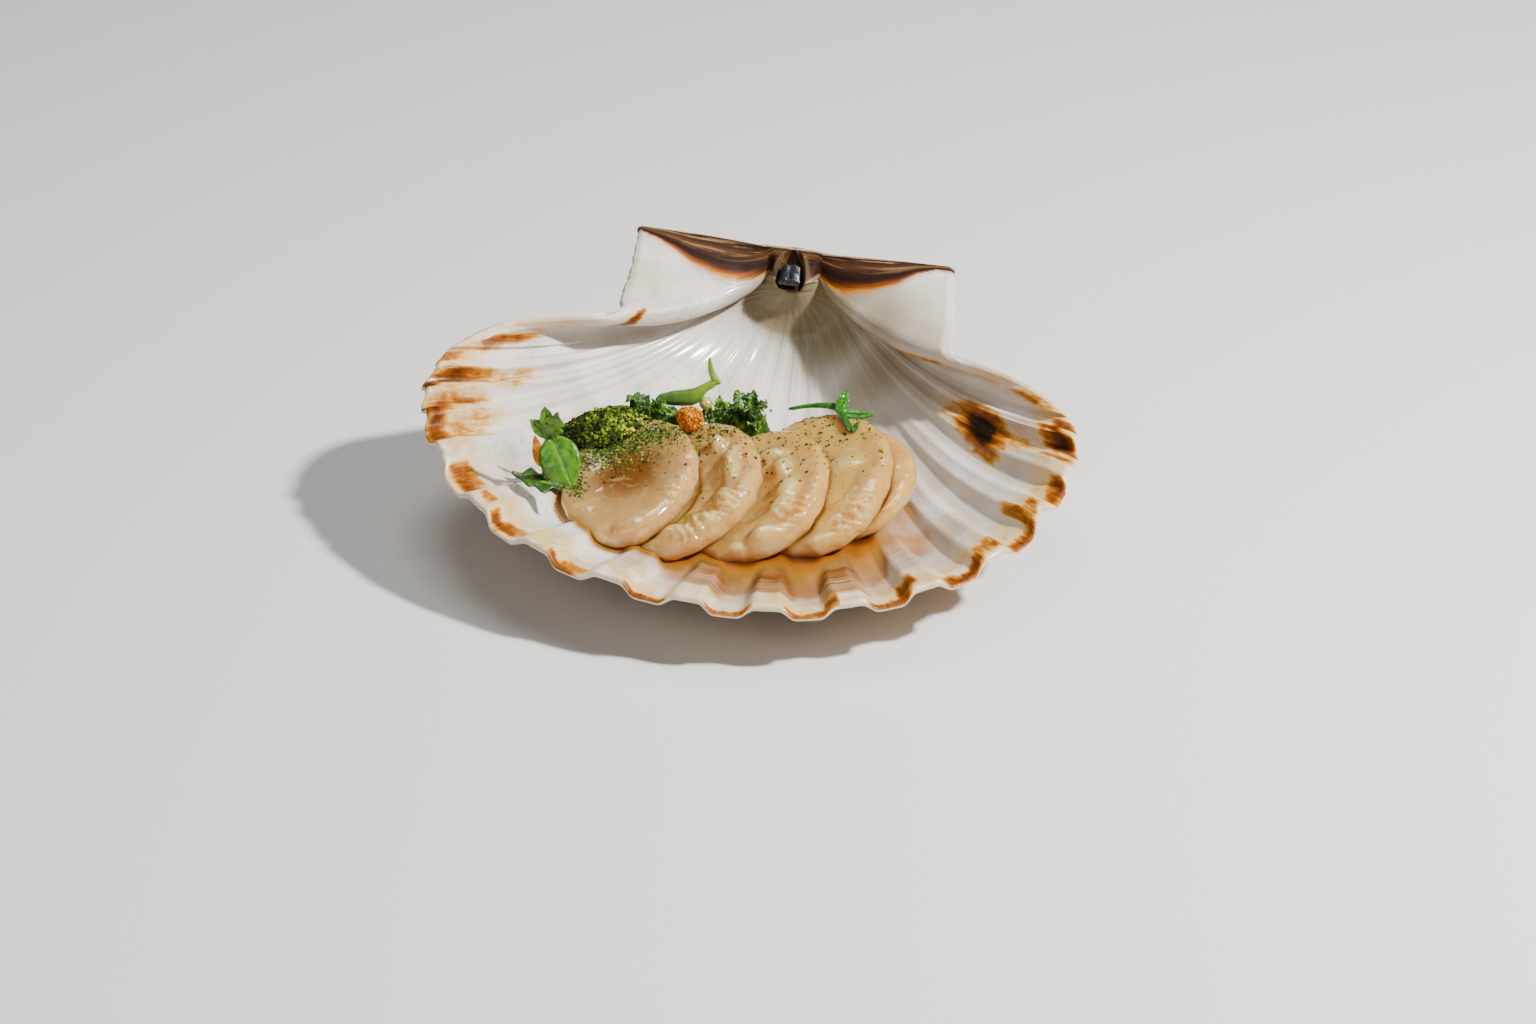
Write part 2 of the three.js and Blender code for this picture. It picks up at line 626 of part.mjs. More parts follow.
/** Height of the ledge at a share of its depth, with or without the pit. */
function ledgePoint(x, down, front, pit = true) {
  const half = lerp(0.4, PIT.half, Math.sqrt(down));
  const inPit = smoothstep(down, 0, 0.4) * (1 - smoothstep(Math.abs(x) / half, 0.6, 1.05));
  const drop = pit ? PIT.depth * inPit : 0;
  const start = 0.35 + 0.55 * Math.min(1, 4 * down);
  return V(x, -lerp(0.9, front, down), start - (0.9 + PLATE.drop) * down - drop);
}

function ligament() {
  const body = new Body();
  const rows = [0, 0.25, 0.5, 0.75, 1].map((k) => {
    const down = lerp(LIGAMENT.from, LIGAMENT.to, k);
    const half = LIGAMENT.half * lerp(LIGAMENT.taper, 1, k);
    const xs = [-1, -0.5, 0, 0.5, 1].map((t) => t * half);
    const low = xs.map((x) => body.point(ledgePoint(0, down, PLATE.front).add(V(x, 0, LIGAMENT.above))));
    const high = xs.map((x, i) => body.point(ledgePoint(0, down, PLATE.front)
      .add(V(x * 1.02, 0, LIGAMENT.above + LIGAMENT.rise * [0.65, 0.95, 1, 0.95, 0.65][i]))));
    return [...low, ...high.reverse()];
  });
  for (let i = 0; i < rows.length - 1; i += 1) body.band(rows[i], rows[i + 1]);
  [rows[0], rows.at(-1)].forEach((loop, end) => {
    const n = loop.length;
    for (let i = 0; i < n / 2 - 1; i += 1) {
      body.face(loop[i], loop[i + 1], loop[n - 2 - i], end === 0);
      body.face(loop[i], loop[n - 2 - i], loop[n - 1 - i], end === 0);
    }
  });
  return body.solid(POSE);
}

// ---------------------------------------------------------------- assembly

const group = new THREE.Group();
group.name = 'scallop_in_shell';

function addPiece(name, solid, look) {
  const mesh = new THREE.Mesh(toGeometry(solid), new THREE.MeshStandardMaterial({ metalness: 0, ...look }));
  mesh.name = name;
  group.add(mesh);
}

const FLESH = { color: '#e9c49b', roughness: 0.3 };
const GREEN = { color: '#4c8a2a', roughness: 0.5 };
const DARK_GREEN = { color: '#2c5c22', roughness: 0.6 };

// Earlier pieces keep their form; a later one is cut clear of those it meets.
const PIECES = [
  ...SLICES.map((slice) => [slice.name, (grow) => sliceSolid(slice, grow), FLESH]),
  ['crumb_ball', (grow) => lumpy(CRUMB_BALL, grow), { color: '#d9822b', roughness: 0.7 }],
  ['bead', (grow) => lumpy(BEAD, grow), { color: '#b9cf7a', roughness: 0.2 }],
  ['sprout', (grow) => joined(Object.values(SPROUT).map((part) => stalk(part, grow))), GREEN],
  ['sprig', (grow) => joined([
    ...SPRIG.stalks.map((part) => stalk(part, grow)),
    ...SPRIG.leaves.map((part) => leaf(part, grow))]), DARK_GREEN],
  ['herb', (grow) => joined([
    stalk(HERB.stem, grow), ...HERB.leaves.map((part) => leaf(part, grow))]), GREEN],
  ['petal', (grow) => leaf(PETAL, grow), { color: '#e08a1e', roughness: 0.5 }],
  ['kale_left', (grow) => tuft(KALE.left, grow), DARK_GREEN],
  ['kale_right', (grow) => tuft(KALE.right, grow), DARK_GREEN],
  ['lying_leaf', (grow) => leaf(LYING_LEAF, grow), DARK_GREEN],
  ['herb_mound', (grow) => lumpy(MOUND, grow), { color: '#5f7a1f', roughness: 0.8 }],
];

const shell = shellBody().solid(POSE).subtract(slab(0)); // a worn spot to rest on
const cavity = cavityBody().solid();
addPiece('shell', shell, { color: '#e9e2d8', roughness: 0.4 });
addPiece('ligament', ligament(), { color: '#2a1a12', roughness: 0.5 });

const grown = [];
PIECES.forEach(([name, make, look]) => {
  let solid = make(0).intersect(cavity);
  grown.forEach((other) => { solid = solid.subtract(other); });
  grown.push(make(CLEARANCE));
  addPiece(name, largest(solid), look);
});

// The pool fills the bottom of the bowl round everything that stands in it.
let sauce = slab(SAUCE_LEVEL).intersect(cavity);
grown.forEach((other) => { sauce = sauce.subtract(other); });
addPiece('sauce', largest(sauce), { color: '#8a4a12', roughness: 0.1 });

// The frame's origin is under the middle of the whole, on the table.
const bounds = new THREE.Box3().setFromObject(group, true);
const middle = bounds.getCenter(V(0, 0, 0));
group.children.forEach((mesh) => mesh.geometry.translate(-middle.x, -middle.y, -bounds.min.z));

export default group;
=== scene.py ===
"""Looks of a dressed raw scallop served in the deep half of its own shell.

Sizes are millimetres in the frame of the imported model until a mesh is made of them.
"""

import logging
import math
from collections.abc import Callable, Sequence
from dataclasses import dataclass, field
from enum import Enum

import bmesh
import bpy
import numpy as np
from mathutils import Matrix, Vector, noise
from mathutils.bvhtree import BVHTree


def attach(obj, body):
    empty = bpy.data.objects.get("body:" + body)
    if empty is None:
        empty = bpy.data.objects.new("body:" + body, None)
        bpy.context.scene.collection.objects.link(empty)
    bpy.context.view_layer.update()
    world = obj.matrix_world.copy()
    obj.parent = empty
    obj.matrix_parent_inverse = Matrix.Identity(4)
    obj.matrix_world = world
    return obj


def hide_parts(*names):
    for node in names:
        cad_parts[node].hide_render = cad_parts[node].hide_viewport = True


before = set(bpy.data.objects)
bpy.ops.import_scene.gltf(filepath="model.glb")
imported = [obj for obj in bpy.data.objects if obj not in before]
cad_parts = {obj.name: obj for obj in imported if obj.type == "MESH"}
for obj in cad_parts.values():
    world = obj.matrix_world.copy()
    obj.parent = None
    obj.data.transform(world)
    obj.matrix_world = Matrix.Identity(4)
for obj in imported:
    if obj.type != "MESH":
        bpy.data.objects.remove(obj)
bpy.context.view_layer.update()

LOG = logging.getLogger("scallop")
MM = 0.001  # metres in a millimetre
ONCE_ROUND = 6.3  # radians, for random turns
VIEWER = (0.15, -0.87, 0.47)  # the upright leaves face this way
MIDDLE = np.array((-2.6134, -6.2283, 0.0))  # the origin, in the axes in which places are given below

Array = np.ndarray
Point = tuple[float, float, float]
Piece = bpy.types.Object
Material = bpy.types.Material
Socket = bpy.types.NodeSocket


# ------------------------------------------------------------------ numbers


def smoothstep(value: Array | float, low: float, high: float) -> Array:
    """Eased step: 0 up to a low value, 1 from a high one."""
    t = np.clip((np.asarray(value, float) - low) / (high - low), 0, 1)
    return t * t * (3 - 2 * t)


def bell(value: Array, middle: float, width: float) -> Array:
    """1 at a middle value, falling to nothing on both sides of it."""
    return np.exp(-(((value - middle) / width) ** 2))


def hill(points: Array, x: float, y: float, wide: float, deep: float) -> Array:
    """1 over one place of the table, falling to nothing round it."""
    return np.exp(-(((points[:, 0] - x) / wide) ** 2 + ((points[:, 1] - y) / deep) ** 2))


def unit(vectors: Array) -> Array:
    """Vectors along the last axis, each made one long."""
    return vectors / np.maximum(np.linalg.norm(vectors, axis=-1, keepdims=True), 1e-9)


def turned(x: Array, y: Array, degrees: float) -> tuple[Array, Array]:
    """Coordinates along and across a direction."""
    c, s = math.cos(math.radians(degrees)), math.sin(math.radians(degrees))
    return x * c + y * s, -x * s + y * c


def rotation(axis: int, degrees: float) -> Array:
    """Matrix of a turn about one of the three axes.

    Args:
        axis: 0, 1 or 2.
        degrees: the turn.

    Returns:
        Three rows and columns.
    """
    c, s = math.cos(math.radians(degrees)), math.sin(math.radians(degrees))
    i, j = (axis + 1) % 3, (axis + 2) % 3
    matrix = np.eye(3)
    matrix[i, i] = matrix[j, j] = c
    matrix[i, j], matrix[j, i] = -s, s
    return matrix


def grain(points: Array, size: float, seed: float = 0.0) -> Array:
    """Smooth noise at points.

    Args:
        points: places in millimetres, one a row.
        size: width of a hump in millimetres.
        seed: shift that gives another pattern.

    Returns:
        Numbers from about -1 to 1.
    """
    flat = np.asarray(points, float).reshape(-1, 3) / size + seed * 7.31
    values = np.array([noise.noise(p) for p in flat.tolist()])
    return values.reshape(np.shape(points)[:-1])


def rgb(code: str) -> tuple[float, float, float, float]:
    """Linear colour of a web colour code such as #e9e2d8."""
    parts = [int(code[i : i + 2], 16) / 255 for i in (1, 3, 5)]
    return (*(c / 12.92 if c <= 0.04045 else ((c + 0.055) / 1.055) ** 2.4 for c in parts), 1.0)


# ------------------------------------------------------------------ meshes


def alone(piece: Piece) -> None:
    """Selects one object and makes it active."""
    bpy.ops.object.select_all(action="DESELECT")
    piece.select_set(True)
    bpy.context.view_layer.objects.active = piece


def linked(name: str, data: bpy.types.ID) -> Piece:
    """A new object of a mesh, lamp or camera, put in the scene."""
    piece = bpy.data.objects.new(name, data)
    bpy.context.scene.collection.objects.link(piece)
    return piece


def points_of(piece: Piece) -> Array:
    """Vertices of a piece in millimetres, one a row."""
    flat = np.empty(len(piece.data.vertices) * 3, np.float32)
    piece.data.vertices.foreach_get("co", flat)
    return flat.reshape(-1, 3).astype(float) / MM


def normals_of(piece: Piece) -> Array:
    """Vertex normals of a piece, one a row."""
    flat = np.empty(len(piece.data.vertices) * 3, np.float32)
    piece.data.vertex_normals.foreach_get("vector", flat)
    return flat.reshape(-1, 3).astype(float)


def place(piece: Piece, points: Array) -> None:
    """Moves the vertices of a piece to points in millimetres."""
    piece.data.vertices.foreach_set("co", (points * MM).astype(np.float32).ravel())
    piece.data.update()


def swell(piece: Piece, amount: Array) -> None:
    """Moves each vertex of a piece along its normal by its amount in millimetres."""
    place(piece, points_of(piece) + normals_of(piece) * amount[:, None])


def paint(piece: Piece, **values: Array) -> None:
    """Stores numbers, one a vertex, under the names that a finish reads."""
    for name, numbers in values.items():
        layer = piece.data.attributes.new(name, "FLOAT", "POINT")
        layer.data.foreach_set("value", np.asarray(numbers, np.float32))


def flow(piece: Piece, across: Array, along: Array) -> None:
    """Stores a UV map that follows the surface.

    Args:
        piece: the piece.
        across: first coordinate of each vertex.
        along: second coordinate of each vertex.
    """
    layer = piece.data.uv_layers.new(name="flow")
    corners = np.empty(len(piece.data.loops), np.int32)
    piece.data.loops.foreach_get("vertex_index", corners)
    layer.data.foreach_set("uv", np.stack([across, along], -1)[corners].astype(np.float32).ravel())


def new_mesh(name: str, points: Array, faces: Sequence[Sequence[int]]) -> Piece:
    """A piece from points in millimetres and faces.

    Args:
        name: of the new piece.
        points: its vertices, one a row.
        faces: vertex numbers of each face.

    Returns:
        The piece.
    """
    mesh = bpy.data.meshes.new(name)
    mesh.from_pydata((np.asarray(points) * MM).tolist(), [], faces)
    mesh.update()
    return linked(name, mesh)


def apply(piece: Piece, kind: str, **settings: object) -> None:
    """Adds one modifier to a piece and applies it.

    Args:
        piece: the piece.
        kind: Blender's name of the modifier.
        settings: its settings.
    """
    alone(piece)
    bpy.ops.object.modifier_add(type=kind)
    modifier = piece.modifiers[-1]
    for key, value in settings.items():
        setattr(modifier, key, value)
    bpy.ops.object.modifier_apply(modifier=modifier.name)


def edit(piece: Piece, tool: Callable[..., object], **settings: object) -> None:
    """Runs one mesh tool on all of a piece.

    Args:
        piece: the piece.
        tool: an operator of edit mode.
        settings: its settings.
    """
    alone(piece)
    bpy.ops.object.mode_set(mode="EDIT")
    bpy.ops.mesh.select_all(action="SELECT")
    tool(**settings)
    bpy.ops.object.mode_set(mode="OBJECT")


def finished(piece: Piece, *finishes: Material, degrees: float = 180) -> Piece:
    """Shades a piece smooth and gives it its finishes.

    Args:
        piece: the piece.
        finishes: its materials.
        degrees: edges sharper than this stay sharp.

    Returns:
        The same piece.
    """
    alone(piece)
    if degrees >= 180:
        bpy.ops.object.shade_smooth()
    else:
        bpy.ops.object.shade_smooth_by_angle(angle=math.radians(degrees))
    for finish in finishes:
        piece.data.materials.append(finish)
    return piece


def copy_of(node: str, name: str) -> Piece:
    """A merged copy of a node's mesh, free to be refined.

    Args:
        node: the frame's node.
        name: of the new piece.

    Returns:
        The copy.
    """
    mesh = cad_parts[node].data.copy()
    mesh.name = name
    mesh.materials.clear()
    piece = linked(name, mesh)
    edit(piece, bpy.ops.mesh.remove_doubles, threshold=0.005 * MM)
    if mesh.has_custom_normals:
        bpy.ops.mesh.customdata_custom_splitnormals_clear()
    return piece


def remesh(piece: Piece, cell: float, rounds: int) -> None:
    """Gives a piece an even mesh and eases its corners.

    Args:
        piece: the piece.
        cell: edge length in millimetres.
        rounds: smoothing passes.
    """
    apply(piece, "REMESH", mode="VOXEL", voxel_size=cell * MM, adaptivity=0.0)
    apply(piece, "SMOOTH", factor=0.5, iterations=rounds)


def zip_rows(low: Sequence[tuple[int, float]], high: Sequence[tuple[int, float]]) -> list[tuple[int, ...]]:
    """Triangles between two rows of vertices.

    Args:
        low: vertex and its place along the row, rising.
        high: the same for the other row.

    Returns:
        Triangles, each as three vertices.
    """
    faces, i, j = [], 0, 0
    while i < len(low) - 1 or j < len(high) - 1:
        if j == len(high) - 1 or (i < len(low) - 1 and low[i + 1][1] <= high[j + 1][1]):
            faces.append((low[i][0], low[i + 1][0], high[j][0]))
            i += 1
        else:
            faces.append((low[i][0], high[j + 1][0], high[j][0]))
            j += 1
    return [f for f in faces if len(set(f)) == 3]


def grid_faces(rows: int, columns: int) -> list[tuple[int, ...]]:
    """Quads of a grid whose vertices run row by row."""
    return [(k, k + 1, k + 1 + columns, k + columns)
            for r in range(rows - 1) for k in range(r * columns, (r + 1) * columns - 1)]


def face_out(piece: Piece) -> None:
    """Turns a closed piece's faces outwards if they all point in.

    Args:
        piece: the piece.
    """
    work = bmesh.new()
    work.from_mesh(piece.data)
    if work.calc_volume(signed=True) < 0:
        bmesh.ops.reverse_faces(work, faces=work.faces[:])
        work.to_mesh(piece.data)
        piece.data.update()
    work.free()


def surface_of(pieces: Sequence[Piece]) -> BVHTree:
    """Surfaces of several pieces in millimetres, for finding what is near or under a point.

    Args:
        pieces: the pieces.

    Returns:
        One tree of all their faces.
    """
    points, faces, first = [], [], 0
    for piece in pieces:
        points.append(points_of(piece))
        faces += [tuple(first + v for v in p.vertices) for p in piece.data.polygons]
        first += len(points[-1])
    return BVHTree.FromPolygons(np.concatenate(points).tolist(), faces)


def gap_to(surface: BVHTree, points: Array) -> Array:
    """Distance from each point to a surface."""
    return np.array([surface.find_nearest(Vector(p))[3] for p in points.reshape(-1, 3).tolist()])


# ------------------------------------------------------------------ finishes


class Wire:
    """What comes out of a node. Sums with it draw more nodes."""

    def __init__(self, pen: "Pen", socket: Socket) -> None:
        """Keeps the pen and the socket."""
        self.pen, self.socket = pen, socket

    def __add__(self, other: object) -> "Wire":
        """This plus another."""
        return self.pen.math("ADD", self, other)

    def __radd__(self, other: object) -> "Wire":
        """Another plus this."""
        return self.pen.math("ADD", other, self)

    def __sub__(self, other: object) -> "Wire":
        """This less another."""
        return self.pen.math("SUBTRACT", self, other)

    def __mul__(self, other: object) -> "Wire":
        """This times another."""
        return self.pen.math("MULTIPLY", self, other)


class Pen:
    """Draws the nodes of one material. Sizes are millimetres."""

    def __init__(self, name: str) -> None:
        """Starts a material with its Principled shader."""
        self.material = bpy.data.materials.new(name)
        self.material.use_nodes = True
        self.tree = self.material.node_tree
        self.shader = self.tree.nodes["Principled BSDF"]

    def feed(self, socket: Socket, value: object) -> None:
        """Links a socket to a wire, or sets its number or colour.

        Args:
            socket: an input.
            value: a wire, a number, a colour code or a vector.
        """
        if isinstance(value, Wire):
            self.tree.links.new(value.socket, socket)
        else:
            socket.default_value = rgb(value) if isinstance(value, str) else value

    def node(self, kind: str, **inputs: object) -> bpy.types.Node:
        """A node of one kind with its inputs fed by name.

        Args:
            kind: its type without the first part that all shader nodes share.
            inputs: what feeds each input, with _ for a space.

        Returns:
            The node.
        """
        made = self.tree.nodes.new(f"ShaderNode{kind}")
        for key, value in inputs.items():
            self.feed(made.inputs[key.replace("_", " ")], value)
        return made

    def surface(self, **values: object) -> None:
        """Feeds inputs of the shader: wires, or numbers and colours that are the same all over."""
        for key, value in values.items():
            self.feed(self.shader.inputs[key.replace("_", " ")], value)

    def where(self) -> Wire:
        """Object coordinates."""
        return Wire(self, self.node("TexCoord").outputs["Object"])

    def uv(self, *scale: float) -> Wire:
        """The piece's own map, scaled along each axis."""
        coords = Wire(self, self.node("TexCoord").outputs["UV"])
        return Wire(self, self.node("Mapping", Vector=coords, Scale=(*scale, 1.0)).outputs[0])

    def read(self, name: str) -> Wire:
        """A painted number."""
        made = self.node("Attribute")
        made.attribute_name = name
        return Wire(self, made.outputs["Fac"])

    def noise(self, size: float, detail: float = 3, coords: Wire | None = None, rough: float = 0.5,
              warp: float = 0.0) -> Wire:
        """Smooth noise.

        Args:
            size: width of a hump in millimetres, or in units of the coordinates given.
            detail: octaves of finer noise.
            coords: coordinates other than the object's own.
            rough: strength of the finer octaves.
            warp: distortion.

        Returns:
            Numbers round a half.
        """
        scale = 1 / size if coords else 1 / (size * MM)
        return Wire(self, self.node("TexNoise", Vector=coords or self.where(), Scale=scale, Detail=detail,
                                    Roughness=rough, Distortion=warp).outputs["Fac"])

    def cells(self, size: float, coords: Wire) -> Wire:
        """Distance to the nearest of scattered points, in cells of a size."""
        return Wire(self, self.node("TexVoronoi", Vector=coords, Scale=1 / size).outputs["Distance"])

    def math(self, operation: str, a: object, b: object, clamp: bool = False) -> Wire:
        """One sum of two numbers.

        Args:
            operation: Blender's name of it.
            a: first number.
            b: second number.
            clamp: whether the result is kept from 0 to 1.

        Returns:
            The result.
        """
        made = self.node("Math")
        made.operation = operation
        made.use_clamp = clamp
        self.feed(made.inputs[0], a)
        self.feed(made.inputs[1], b)
        return Wire(self, made.outputs[0])

    def span(self, value: Wire, low: float, high: float, bottom: float = 0.0, top: float = 1.0) -> Wire:
        """A number's range turned into another, eased.

        Args:
            value: the number.
            low: where its range starts.
            high: where it ends.
            bottom: what the start becomes.
            top: what the end becomes.

        Returns:
            The new number.
        """
        made = self.node("MapRange", Value=value, From_Min=low, From_Max=high, To_Min=bottom, To_Max=top)
        made.interpolation_type = "SMOOTHSTEP"
        return Wire(self, made.outputs[0])

    def ramp(self, factor: Wire, *stops: tuple[float, str]) -> Wire:
        """Colours along a number.

        Args:
            factor: the number.
            stops: places from 0 to 1 and their colour codes.

        Returns:
            The colour.
        """
        made = self.node("ValToRGB", Fac=factor)
        elements = made.color_ramp.elements
        while len(elements) < len(stops):
            elements.new(0.5)
        for element, (at, code) in zip(elements, stops):
            element.position = at
            element.color = rgb(code)
        return Wire(self, made.outputs["Color"])

    def mix(self, factor: object, a: object, b: object, blend: str = "MIX") -> Wire:
        """Two colours mixed.

        Args:
            factor: share of the second.
            a: first colour.
            b: second colour.
            blend: Blender's name of the way.

        Returns:
            The colour.
        """
        made = self.node("Mix")
        made.data_type = "RGBA"
        made.blend_type = blend
        for socket, value in ((0, factor), (6, a), (7, b)):
            self.feed(made.inputs[socket], value)
        return Wire(self, made.outputs[2])

    def bump(self, height: Wire, depth: float, coat: bool = False) -> None:
        """Relief on top of what is there.

        Args:
            height: its height, 0 to 1.
            depth: what 1 stands for, in millimetres.
            coat: whether the clear coat follows it too.
        """
        made = self.node("Bump", Height=height, Distance=depth * MM, Strength=1.0)
        old = self.shader.inputs["Normal"]
        if old.is_linked:
            self.tree.links.new(old.links[0].from_socket, made.inputs["Normal"])
        self.tree.links.new(made.outputs[0], old)
        if coat:
            self.tree.links.new(made.outputs[0], self.shader.inputs["Coat Normal"])


@dataclass(frozen=True)
class Nacre:
    """The polished inside of the shell, with its stains, hinge plate, a film of sauce and painted shade."""

    pale: str = "#e5ded6"
    lilac: str = "#c8bbaf"
    ray: str = "#a39c93"
    # painted shade: the olive-grey laid under the hinge and down the right wall
    grey: str = "#8a7a55"
    warm: str = "#dccba9"
    cream: str = "#d4ae68"
    # dust: green-grey specks; round the lying leaf they also stand for painted shadow
    dust: str = "#7d8a55"
    sauce: str = "#d6983c"
    streak: str = "#b98d55"
    fan: str = "#8a7450"
    gloss: float = 0.3

    def material(self) -> Material:
        """Builds the material."""
        pen = Pen("nacre")
        fibre = pen.noise(0.55, 5, pen.uv(1.0, 0.12), 0.6)
        base = pen.mix(pen.span(pen.noise(14, 3), 0.35, 0.7), self.pale, self.lilac)
        base = pen.mix(pen.read("rim") * 0.45, base, self.warm)
        # Painted shade: olive-grey where the shell lies in shade.
        base = pen.mix(pen.read("shade"), base, self.grey)
        base = pen.mix(pen.span(fibre, 0.42, 0.66) * 0.16, base, self.ray)
        yellow = pen.read("rim") * pen.span(pen.noise(5.0, 3, warp=0.5), 0.34, 0.58)
        base = pen.mix(yellow * 0.85, base, self.cream)
        base = pen.mix(pen.span(pen.noise(0.5, 2), 0.56, 0.66) * pen.read("dust"), base, self.dust)
        uneven = (fibre - 0.5) * 0.9 + (pen.noise(2.8, 4, warp=0.6) - 0.5) * 0.8
        patch = pen.read("stain")
        stain = patch + uneven * pen.span(patch, 0.0, 0.4, 0.0, 0.7)
        brown = pen.ramp(stain, (0.0, "#e6dccd"), (0.18, "#dcbc84"), (0.36, "#b8781a"), (0.56, "#814204"),
                         (0.8, "#421e04"), (1.0, "#120802"))
        base = pen.mix(pen.span(stain, 0.04, 0.26), base, brown)
        bars = pen.noise(1.0, 4, pen.uv(0.05, 1.3), 0.6)
        dyed = pen.ramp(bars, (0.35, "#5f3604"), (0.5, "#8e560a"), (0.65, "#b88024"))
        base = pen.mix(pen.read("tan") * pen.span(bars, 0.3, 0.7, 1.0, 0.7), base, dyed)
        base = pen.mix(pen.read("wet") * 0.85, base, self.sauce, "MULTIPLY")
        base = pen.mix(pen.read("plate"), base, self.plate(pen))
        rough = self.gloss + pen.noise(2.5, 3) * 0.2 + pen.read("plate") * 0.25
        slick = pen.read("wet") * 0.3 + pen.read("pearl") * 0.12
        dull = pen.math("MAXIMUM", pen.span(patch, 0.1, 0.5) * 0.8, pen.read("plate"))
        dull = pen.math("MAXIMUM", pen.read("tan") * 0.6, dull)
        bare = pen.math("SUBTRACT", 1.0, dull, clamp=True)
        pen.surface(Base_Color=base, Roughness=pen.math("SUBTRACT", rough, slick, clamp=True),
                    Coat_Weight=bare * 0.25, Specular_IOR_Level=pen.span(bare, 0.0, 1.0, 0.15, 0.5),
                    Subsurface_Weight=0.12, Subsurface_Scale=0.002, Coat_Roughness=0.12)
        pen.bump(fibre * bare, 0.12)
        pen.bump(pen.noise(1.0, 3) * pen.read("pearl"), 0.22)
        pen.bump(pen.noise(0.35, 3), 0.05)
        return pen.material

    def plate(self, pen: Pen) -> Wire:
        """Dark red-brown with tan streaks that fan out from the pit and an orange lower edge.

        Args:
            pen: draws the material.

        Returns:
            The colour.
        """
        strands = pen.noise(1.0, 5, pen.uv(0.06, 6.5), 0.6, 0.2)
        down = pen.read("streak") + (strands - 0.5) * 0.3
        ground = pen.ramp(down, (0.0, "#a58560"), (0.04, "#180a04"), (0.14, "#2e180a"), (0.3, "#4a2c14"),
                          (0.45, "#2c1208"), (0.66, "#1a0703"), (0.8, "#3a1604"), (0.9, "#743804"),
                          (0.97, "#9c5a0c"), (1.0, "#b87a28"))
        shown = pen.ramp(down, (0.05, "#000000"), (0.16, "#d8d8d8"), (0.4, "#b0b0b0"), (0.6, "#282828"),
                         (0.75, "#000000"))
        ground = pen.mix(pen.span(strands, 0.49, 0.62) * shown, ground, self.streak)
        return pen.mix(pen.read("fan"), ground, self.fan)


@dataclass(frozen=True)
class OuterShell:
    """The ribbed outside: cream, blocks of reddish brown, a pale margin and fine radial threads."""

    cream: str = "#d8c5a4"
    tan: str = "#b98d5d"
    brown: str = "#7c3d22"
    thread: str = "#efe5d2"
    pale: str = "#e3dccf"

    def material(self) -> Material:
        """Builds the material."""
        pen = Pen("outer_shell")
        threads = pen.noise(0.3, 4, pen.uv(1.0, 0.04), 0.6)
        rings = pen.noise(2.2, 4, pen.uv(0.06, 1.0), 0.55)
        blocks = pen.noise(7.5, 2, pen.uv(1.0, 0.75), 0.4)
        base = pen.mix(pen.span(rings, 0.35, 0.65), self.cream, self.tan)
        base = pen.mix(pen.span(blocks + (threads - 0.5) * 0.25, 0.5, 0.62), base, self.brown)
        base = pen.mix(pen.span(threads, 0.5, 0.62) * 0.3, base, self.thread)
        pen.surface(Base_Color=pen.mix(pen.read("margin"), base, self.pale),
                    Roughness=pen.span(rings, 0.2, 0.8, 0.45, 0.7), Specular_IOR_Level=0.4)
        pen.bump(threads, 0.3)
        pen.bump(rings, 0.25)
        return pen.material


# ------------------------------------------------------------------ shell


@dataclass(frozen=True)
class Curve:
    """A quadratic curve in the rim plane."""

    start: tuple[float, float]
    pull: tuple[float, float]
    end: tuple[float, float]

    def at(self, t: Array) -> Array:
        """Points at shares of the curve."""
        t = t[..., None]
        start, pull, end = map(np.array, (self.start, self.pull, self.end))
        return (1 - t) ** 2 * start + 2 * t * (1 - t) * pull + t * t * end


